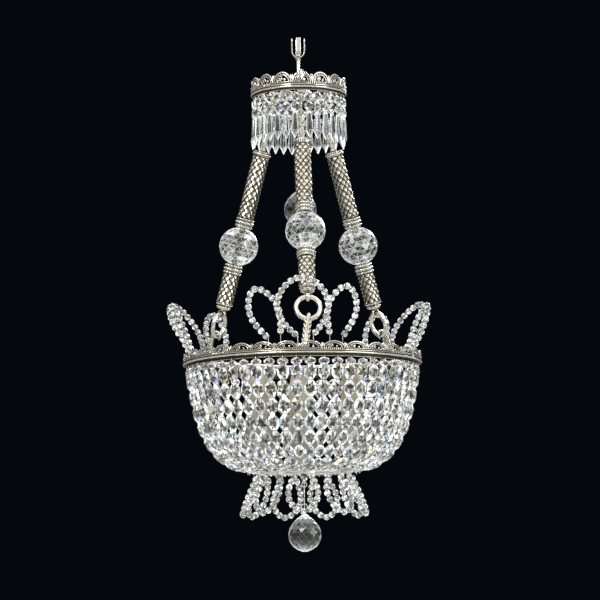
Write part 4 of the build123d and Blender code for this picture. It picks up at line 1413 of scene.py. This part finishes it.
# --- bead loops -------------------------------------------------------------------------
@dataclass(frozen=True)
class Loop:
    """One string of beads on a stiff wire, as a drop-shaped loop.

    Args:
        radius: distance of the feet's middle from the chandelier's axis.
        azimuth: where they stand, in degrees.
        height: height of the feet.
        rise: 1 for a loop that stands, -1 for one that hangs.
        lean: outward lean in degrees.
        splay: lean along the rim in degrees.
        size: height, half width and half distance of the feet.
        pitch: distance from bead to bead.
        seat: height where the bare wires end.
    """

    radius: float
    azimuth: float
    height: float
    rise: float
    lean: float
    splay: float
    size: tuple[float, float, float]
    pitch: float
    seat: float

    def flat(self) -> Array:
        """Frame of the loop's plane: x across it, z from its feet to its tip."""
        out, along = polar(1.0, self.azimuth), polar(1.0, self.azimuth + 90)
        tilt, turn = math.radians(self.lean), math.radians(self.splay)
        leaning = np.array([0, 0, self.rise]) * math.cos(tilt) + out * math.sin(tilt)
        up = leaning * math.cos(turn) + along * math.sin(turn)
        across = along * math.cos(turn) - leaning * math.sin(turn)
        place = polar(self.radius, self.azimuth, self.height)
        return frames_at(place[None], across[None], up[None])[0]

    def line(self, count: int) -> Array:
        """Middle line of the string in space, from foot to foot."""
        height, half, foot = self.size
        knots = np.array([
            (-foot, 0, 0), (-0.8 * half, 0, 0.23 * height), (-half, 0, 0.62 * height),
            (0, 0, height), (half, 0, 0.62 * height), (0.8 * half, 0, 0.23 * height), (foot, 0, 0),
        ])
        place = self.flat()
        return curve(knots, count) @ place[:3, :3].T + place[:3, 3]

    def beads(self) -> Array:
        """Frames of the beads, with their widths and height as the axes' lengths."""
        fine = self.line(400)
        length = float(np.linalg.norm(np.diff(fine, axis=0), axis=1).sum())
        count = math.floor(length / self.pitch)
        even = self.line(2 * count + 1)
        middle, ahead = even[1::2], unit(even[2::2] - even[:-1:2])
        across = unit(np.cross(self.flat()[:3, 1], ahead))
        sizes = np.broadcast_to([self.pitch, self.pitch, 0.93 * length / count], (count, 3))
        return frames_at(middle, across, ahead, sizes)

    def wire(self, radius: float) -> Net:
        """Wire through all the beads, which goes on down or up to the seat at both ends."""
        line = self.line(72)
        down = np.array([0, 0, self.seat - line[0, 2] - 0.2 * self.rise])
        path = np.concatenate([line[:1] + down, line, line[-1:] + down])
        return tube(path, radius, 6, self.flat()[:3, 1])


@dataclass
class BeadLoops:
    """The three fans on the rim and the skirt of loops under the basket."""

    rim: float = 150.7
    lip: float = 411.0
    ring: float = 58.0
    ring_under: float = 548.55
    loops: int = 9
    push: float = 5.0
    bare: float = 5.0
    bead: float = 8.1
    wire: float = 0.5
    tall: tuple[float, float, float] = (76.0, 30.0, 9.5)
    small: tuple[float, float, float] = (62.0, 17.6, 8.3)
    hung: tuple[float, float, float] = (52.0, 18.0, 9.0)

    def cut_bead(self) -> Net:
        """Round cut bead of unit diameter and height, flat where the wire goes through."""
        latitude = np.radians([-66, -36, 0, 36, 66])
        height = 0.5 * np.sin(latitude) / math.sin(math.radians(66))
        # painted shade on the end facets, painted flash on the middle ones
        return brilliant(0.5 * np.cos(latitude), height, 7, (0.1, 0.62, 0.62, 0.1))

    def fan(self, azimuth: float) -> list[Loop]:
        """Tall loop in the middle and a smaller one, splayed out, on each side.

        The front fan's wires are bent a little to the left, as the photograph shows.
        """
        stand = self.lip - 18.0
        bent = azimuth == FRONT
        foot, splay = (azimuth - 2.2, -5.0) if bent else (azimuth, 0.0)
        ends = (self.bead, -self.lip)
        loops = [Loop(self.rim - 5.0, foot, -stand, 1, 30.0, splay, self.tall, *ends)]
        for side in (-1, 1):
            loops.append(Loop(self.rim - 6.4, foot + side * 15.0, -stand, 1, 19.0,
                              side * 13.0 + splay, self.small, *ends))
        return loops

    def skirt(self) -> list[Loop]:
        """Loops that hang round the bottom ring, pushed a little to the left as photographed."""
        seat = -self.ring_under
        rest = (seat - self.bare, -1, 22.0, 0.0, self.hung, self.bead, seat)
        azimuths = spread(self.loops, FRONT - self.push)
        return [Loop(self.ring, azimuth, *rest) for azimuth in azimuths]

    def build(self, finishes: Finishes) -> None:
        """Makes the beads and the wires of each group."""
        fans = ("fan_front", "fan_right", "fan_left")
        groups = {name: self.fan(azimuth) for name, azimuth in zip(fans, spread(ARMS))}
        groups["bottom_loops"] = self.skirt()
        for name, loops in groups.items():
            beads = self.cut_bead().at(np.concatenate([loop.beads() for loop in loops]))
            piece(f"{name}_beads", beads, finishes.bead, [name], stray=0.4)
            wires = joined([loop.wire(self.wire) for loop in loops])
            piece(f"{name}_wires", wires, finishes.wire)


# --- plain metal parts --------------------------------------------------------------------
@dataclass
class Hanger:
    """Fork of two bent straps, the stem with its hexagon nuts and the crown's spider."""

    radius: float = 7.9
    inner: float = 6.7
    straight: float = 13.0
    top: float = 4.0
    strap: float = 1.2
    bore: float = 2.5
    stem: float = 1.9
    hub_top: float = 70.8
    spoke_reach: float = 56.5

    def bend(self, radius: float, start: float) -> Array:
        """Line down one leg, round the half circle below and up the other leg, in x and z."""
        turn = np.radians(np.linspace(0, -180, 25))
        low = in_plane(radius * np.cos(turn), radius * np.sin(turn) - self.straight)
        down = in_plane(radius, np.linspace(start, -self.straight + 2, 5))
        return np.concatenate([down, low, down[::-1] * [-1, 1, 1]])

    def fork(self) -> Net:
        """Outer strap with round eyes for the pin, and the wider inner strap across it."""
        half = self.strap / 2
        section = {"sides": 16, "normal": (0, 1, 0), "smooth": False, "power": 0.3}
        outer = tube(self.bend(self.radius, -3.0), half, flat=3.25 / half, **section)
        inner = tube(self.bend(self.inner, self.top - 0.2), half, flat=2.75 / half, **section)
        crossed = inner.at(turns([90.0]))
        eye = lathe(np.array([
            (self.bore, -half), (3.5, -half), (3.9, -0.6 * half), (3.9, 0.6 * half), (3.5, half),
            (self.bore, half),
        ]), 32, hollow=True)
        place = frames_at(np.array([[-self.radius, 0, 0], [self.radius, 0, 0]]),
                          np.array([[0, 1.0, 0]] * 2), np.array([[1.0, 0, 0]] * 2))
        return joined([outer, crossed, eye.at(place)])

    def nuts(self) -> Net:
        """Hexagon nuts with chamfered corners, at the heights of the CAD's."""
        nets = []
        for solid in solids_of("stem_nuts"):
            low, high = solid[:, 2].min(), solid[:, 2].max()
            rows = np.array([(self.stem, low), (2.8, low), (3.4, low + 0.45), (3.4, high - 0.45),
                             (2.8, high), (self.stem, high)])
            nets.append(lathe(rows, 6, smooth=False, hollow=True))
        return joined(nets)

    def spider(self) -> Net:
        """Moulded hub, three spokes and the lugs that the arms' eyes hang in."""
        top, low = -self.hub_top, -self.hub_top - 6.0
        hub = lathe(np.array([
            (2.1, low), (7.4, low), (8.6, low + 0.9), (8.9, low + 2.2), (8.2, low + 2.8),
            (8.2, top - 2.4), (8.9, top - 1.6), (7.8, top - 0.4), (6.0, top), (2.1, top),
        ]), 40, hollow=True)
        spoke = in_plane(np.linspace(6.0, self.spoke_reach, 6), top - 2.5)
        arm = Arms().plane()
        start = np.array([Arms.top[0], 0, Arms.top[1]]) + 5.7 * arm[:3, 2]
        ring = circle(3.55, 28, start)
        post = in_plane(start[0], np.linspace(start[2] + 3.6, top - 2.6, 6))
        one = joined([
            tube(spoke, 1.5, 16, (0, 1, 0), flat=3.3, power=0.4),
            tube(ring, 0.8, 10, (0, 1, 0), closed=True, flat=1.8),
            tube(post, np.linspace(3.9, 5.4, 6), 16, (0, 1, 0), flat=0.28, power=0.5),
        ])
        return joined([hub, one.at(thirds())])

    def build(self, finishes: Finishes) -> None:
        """Makes the fork, the stem, the nuts and the spider."""
        low, high = levels_of("stem_rod")
        stem = lathe(np.array([
            (1.3, low), (self.stem, low + 0.6), (self.stem, high - 0.6), (1.3, high),
        ]), 24)
        piece("hanger_fork_straps", self.fork(), finishes.plain, ["hanger_fork"])
        piece("stem_round", stem, finishes.plain, ["stem_rod"])
        piece("stem_hexagon_nuts", self.nuts(), finishes.plain, ["stem_nuts"])
        piece("crown_spider_cast", self.spider(), finishes.plain, ["crown_spider"])


@dataclass
class InnerMetal:
    """Lamp bridge, the ring that the basket's strands end on and the centre ball's link."""

    bridge_top: float = -416.3
    bridge_reach: float = 143.7
    ring: float = 59.5
    ring_wall: float = 3.0
    ring_top: float = -544.05
    ring_low: float = -548.55
    bars: float = -546.3
    bridge_boss: float = 15.8
    ring_boss: float = 5.8

    def star(self, reach: float, middle: float, half: float, ratio: float, first: float) -> Net:
        """Three flat bars from the middle outwards."""
        line = in_plane(np.linspace(3.0, reach, 8), middle)
        bar = tube(line, half, 16, (0, 1, 0), flat=ratio, power=0.4)
        return bar.at(thirds(first))

    def boss(self, radius: float, low: float, high: float) -> Net:
        """Flat round boss with rounded edges."""
        return lathe(np.array([
            (0.3, low), (radius - 0.9, low), (radius, low + 0.8), (radius, high - 0.8),
            (radius - 0.9, high), (0.3, high),
        ]), 40)

    def build(self, finishes: Finishes) -> None:
        """Makes the bridge, the ring with its three bars and the centre link."""
        top = self.bridge_top
        beams = self.star(self.bridge_reach, top - 1.5, 1.5, 4.6, FRONT + 60)
        bridge = joined([beams, self.boss(self.bridge_boss, top - 3, top)])
        outer, inner = self.ring, self.ring - self.ring_wall
        low, high = self.ring_low, self.ring_top
        band = lathe(np.array([
            (inner, low + 0.6), (inner + 0.6, low), (outer - 0.6, low), (outer, low + 0.7),
            (outer - 0.4, low + 1.6), (outer, low + 2.4), (outer, high - 0.6), (outer - 0.6, high),
            (inner + 0.6, high), (inner, high - 0.6),
        ]), 108, hollow=True)
        bars = self.star(self.ring - 1.6, self.bars, 1.45, 1.7, FRONT)
        boss = self.boss(self.ring_boss, self.bars - 1.5, self.bars + 1.5)
        piece("lamp_bridge_bars", bridge, finishes.plain, ["lamp_bridge"])
        piece("bottom_ring_round", joined([band, bars, boss]), finishes.plain,
              ["bottom_ring"])
        low, high = levels_of("centre_link")
        steps = np.linspace(low, high, 73)
        radius = 0.75 + 0.45 * np.abs(np.cos((steps - low) / (high - low) * 18 * np.pi)) ** 4
        link = lathe(np.stack([radius, steps], axis=-1), 14)
        piece("centre_link_turned", link, finishes.plain, ["centre_link"],
              "centre_drop")


# --- lamps and drops ----------------------------------------------------------------------
@dataclass
class Lamps:
    """Candle sleeves and bulbs that hang inside the basket."""

    radius: float = 68.0
    holder: float = 14.0
    bulb: float = 22.3
    neck: float = 12.4
    widest: float = 0.36

    def build(self, finishes: Finishes) -> None:
        """Makes the sleeves and the bulbs, turned smooth between their CAD heights."""
        place = thirds(FRONT + 60)
        place[:, :3, 3] = place[:, :3, 0] * self.radius
        low, high = levels_of("lampholders")
        full = self.holder
        sleeve = lathe(np.array([
            (full - 1.5, low), (full, low + 0.8), (full, low + 0.6 * (high - low)),
            (0.92 * full, low + 0.72 * (high - low)), (0.8 * full, high - 6), (0.6 * full, high),
        ]), 32)
        piece("lamp_sleeves", sleeve.at(place), finishes.ivory, ["lampholders"])
        low, high = levels_of("bulbs")
        share = np.linspace(0.02, 1.0, 18)
        round_end = self.bulb * np.sqrt(np.clip(1 - (1 - share / self.widest) ** 2, 0, 1))
        fall = np.cos((share - self.widest) / (1 - self.widest) * np.pi / 2)
        neck = self.neck + (self.bulb - self.neck) * fall ** 1.3
        radius = np.where(share < self.widest, round_end, neck)
        bulb = lathe(np.stack([radius, low + share * (high - low)], axis=-1), 32)
        piece("bulbs_round", bulb.at(place), finishes.frosted, ["bulbs"])


@dataclass
class Drops:
    """Centre ball, the link under the basket and the pear-shaped drop.

    Args:
        ball: largest radius of both balls.
        pierced: height of a ball's top as a share of its CAD node's.
        octagon: width, thickness and height of the link's crystal.
        wire: radius of the link's wire.
        edge: width and gain of the painted highlight on the balls' facet borders.
        calm, calmest: how far the painted brightness strays on the centre ball and on the pear.
    """

    ball: float = 20.5
    pierced: float = 0.955
    octagon: tuple[float, float, float] = (9.0, 6.0, 12.0)
    wire: float = 0.6
    edge: tuple[float, float] = (0.35, 0.32)
    calm: float = 0.25
    calmest: float = 0.14

    def pear(self, node: str) -> Net:
        """Pear ball: rings of triangles, widest a little below the middle."""
        low, high = levels_of(node)
        share = np.array([0.0, 0.05, 0.14, 0.26, 0.38, 0.5, 0.62, 0.75, 0.87, 0.95, 1.0])
        radius = np.array([0.14, 0.44, 0.73, 0.92, 0.995, 1.0, 0.93, 0.76, 0.5, 0.26, 0.13])
        # painted brightness of each ring: flash at the ends, shade round the middle
        shines = (0.6, 0.45, 0.2, 0.05, 0.02, 0.03, 0.12, 0.3, 0.6, 0.85)
        height = low + self.pierced * share * (high - low)
        return edged(brilliant(radius * self.ball, height, 12, shines), *self.edge)

    def eye(self, node: str) -> Net:
        """Wire eye through the pierced top of a ball."""
        low, high = levels_of(node)
        middle = low + self.pierced * (high - low)
        return tube(circle(1.5, 20, (0, 0, middle)), 0.45, 6, (0, 1, 0), closed=True)

    def build(self, finishes: Finishes) -> None:
        """Makes both balls and the link with its octagon."""
        piece("centre_ball_cut", self.pear("centre_ball"), finishes.ball,
              ["centre_ball"], "centre_drop", self.calm)
        for cad, body in (("centre_ball", "centre_drop"), ("drop_ball", "drop_ball")):
            piece(f"{cad}_eye", self.eye(cad), finishes.wire, body=body)
        piece("drop_ball_cut", self.pear("drop_ball"), finishes.pear, ["drop_ball"],
              "drop_ball", self.calmest)
        low, high = levels_of("drop_link")
        crystal = octagon().mapped(
            lambda points: points * self.octagon + [0, 0, high - self.octagon[2] / 2])
        piece("drop_link_octagon", crystal, finishes.strand, body="drop_link")
        nets = []
        for height, radius in ((high - 16.05, 3.2), (low + 6.65, 3.8)):
            ring = circle(radius, 24, (0, 0, height))
            nets.append(tube(ring, self.wire, 8, (0, 1, 0), closed=True))
        pin = in_plane(0, [low + 0.1, high - self.octagon[2] + 1])
        nets.append(tube(pin, self.wire, 8, (0, 1, 0)))
        piece("drop_link_wires", joined(nets), finishes.wire, ["drop_link"],
              "drop_link")


# --- studio ---------------------------------------------------------------------------------
@dataclass(frozen=True)
class SoftBox:
    """Square lamp that faces the middle of the chandelier and isn't seen through glass."""

    name: str
    place: tuple[float, float, float]
    size: float
    power: float
    colour: Colour
    target: tuple[float, float, float] = (0, 0, -0.33)

    def build(self) -> None:
        """Makes the lamp, with its back along the line from the target."""
        light = bpy.data.lights.new(self.name, "AREA")
        light.size = self.size
        light.energy = self.power
        light.color = self.colour
        box = bpy.data.objects.new(self.name, light)
        bpy.context.collection.objects.link(box)
        back = unit(np.subtract(self.place, self.target))
        side = unit(np.cross([0, 0, 1.0], back))
        turn = np.eye(4)
        turn[:3] = np.stack([side, np.cross(back, side), back, self.place], axis=-1)
        box.matrix_world = Matrix(turn.tolist())
        box.visible_transmission = False


@dataclass
class Studio:
    """Camera, lamps, floor and background."""

    focal: float = 169.1
    camera_turn: float = -3.75
    camera_place: tuple[float, float, float] = (-4.6, -3523.1, -773.1)
    pitch: float = 7.14
    roll: float = 0.80
    heading: float = -0.0425
    floor: float = -1000.0
    boxes: tuple[SoftBox, ...] = (
        SoftBox("key", (-1.3, -1.9, 0.9), 0.9, 30.0, (1.0, 0.98, 0.95)),
        SoftBox("fill", (1.8, -1.4, 0.1), 1.2, 20.0, (0.93, 0.96, 1.0)),
        SoftBox("rim", (0.9, 1.8, 0.8), 0.8, 22.0, (0.96, 0.98, 1.0)),
    )

    def camera(self) -> None:
        """Long lens low in front of the chandelier, looking a little up."""
        lens = bpy.data.cameras.new("camera")
        lens.lens = self.focal
        lens.sensor_width = 36.0
        eye = bpy.data.objects.new("camera", lens)
        bpy.context.collection.objects.link(eye)
        eye.matrix_world = (
            Matrix.Rotation(math.radians(self.camera_turn), 4, "Z")
            @ Matrix.Translation([value * MM for value in self.camera_place])
            @ Matrix.Rotation(math.radians(self.heading), 4, "Z")
            @ Matrix.Rotation(math.radians(90 + self.pitch), 4, "X")
            @ Matrix.Rotation(math.radians(-self.roll), 4, "Z")
        )
        bpy.context.scene.camera = eye

    def background(self) -> None:
        """World: dark behind the object, as in the photograph, with soft light above and below.

        The camera sees only the dark; gloss and glass also see the bright ceiling and the
        light of the pale floor, gloss a pale screen in front as well, and everything else
        gets an even pale light.
        """
        world = bpy.data.worlds.new("studio")
        bpy.context.scene.world = world
        world.use_nodes = True
        tree = world.node_tree
        tree.nodes.clear()
        output = tree.nodes.new("ShaderNodeOutputWorld")
        path = tree.nodes.new("ShaderNodeLightPath")
        place = node(tree, "TexCoord").outputs["Generated"]
        way = node(tree, "SeparateXYZ", in0=place).outputs
        height = node(tree, "MapRange", in0=way["Z"], in1=-1.0, in2=1.0)
        front = node(tree, "MapRange", in0=way["Y"], in1=-0.95, in2=-0.35, in3=0.65, in4=0.0)
        around = ramp(tree, height.outputs[0], (
            (0.0, (0.5, 0.5, 0.49)), (0.3, (0.36, 0.36, 0.35)), (0.42, (0.04, 0.04, 0.04)),
            (0.54, (0.03, 0.03, 0.03)), (0.66, (0.4, 0.4, 0.4)), (0.8, (1.0, 1.0, 1.0)),
        ))
        through = blend(tree, 1.0, around, (0.45, 0.455, 0.45, 1), "MULTIPLY")
        even = node(tree, "Background", Color=(0.9, 0.93, 1.0, 1), Strength=0.35)
        screen = blend(tree, front.outputs[0], around, (0.95, 0.95, 0.93, 1))
        gloss = node(tree, "Background", Color=screen, Strength=1.0)
        clear = node(tree, "Background", Color=through, Strength=1.0)
        dark = node(tree, "Background", Color=(0.0015, 0.0024, 0.004, 1), Strength=1.0)
        mix = even
        for ray, shown in (("Glossy", gloss), ("Transmission", clear), ("Camera", dark)):
            mix = node(tree, "MixShader", in0=path.outputs[f"Is {ray} Ray"], in1=mix.outputs[0],
                       in2=shown.outputs[0])
        tree.links.new(mix.outputs[0], output.inputs["Surface"])

    def ground(self) -> None:
        """Plain pale floor with faint mottling."""
        turn = np.linspace(0, 2 * np.pi, 64, endpoint=False)
        mesh = bpy.data.meshes.new("studio_floor")
        ring = polar(6000.0, np.degrees(turn), self.floor) * MM
        mesh.from_pydata(ring.tolist(), [], [list(range(64))])
        material = bpy.data.materials.new("pale_floor")
        tree, shader = tree_of(material)
        place = node(tree, "TexCoord").outputs["Object"]
        mottle = node(tree, "TexNoise", Vector=place, Scale=3.0, Detail=4.0)
        stops = ((0.3, (0.8, 0.8, 0.79)), (0.7, (0.76, 0.76, 0.75)))
        fill(tree, shader, Base_Color=ramp(tree, mottle.outputs["Fac"], stops), Roughness=0.8)
        mesh.materials.append(material)
        floor = bpy.data.objects.new("studio_floor", mesh)
        bpy.context.collection.objects.link(floor)

    def build(self) -> None:
        """Sets the whole studio."""
        bpy.context.scene.view_settings.view_transform = "Standard"
        self.camera()
        for box in self.boxes:
            box.build()
        self.background()
        self.ground()


def main() -> None:
    """Builds the studio and every sub-assembly in order."""
    logging.basicConfig(level=logging.INFO, format="%(name)s: %(message)s")
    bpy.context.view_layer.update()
    Studio().build()
    finishes = Finishes()
    finishes.dress_frame()
    crown = ScrollGallery("crown", 61.5, 67.5, 16.9, 15, 150, 58.0, 2.6)
    rim = ScrollGallery("rim", 150.7, 411.0, 11.5, 32, 380, 145.2, 3.6)
    crown.build(finishes)
    rim.build(finishes)
    RimStrandTops().build(rim, finishes)
    RingCrystals().build(finishes)
    for name in ("crown_crystals", "basket_wall", "basket_floor"):
        Crystals(name).build(finishes)
    Prisms().build(finishes)
    Arms().build(finishes)
    BeadLoops().build(finishes)
    Hanger().build(finishes)
    InnerMetal().build(finishes)
    Lamps().build(finishes)
    Drops().build(finishes)


if __name__ == "__main__":
    main()
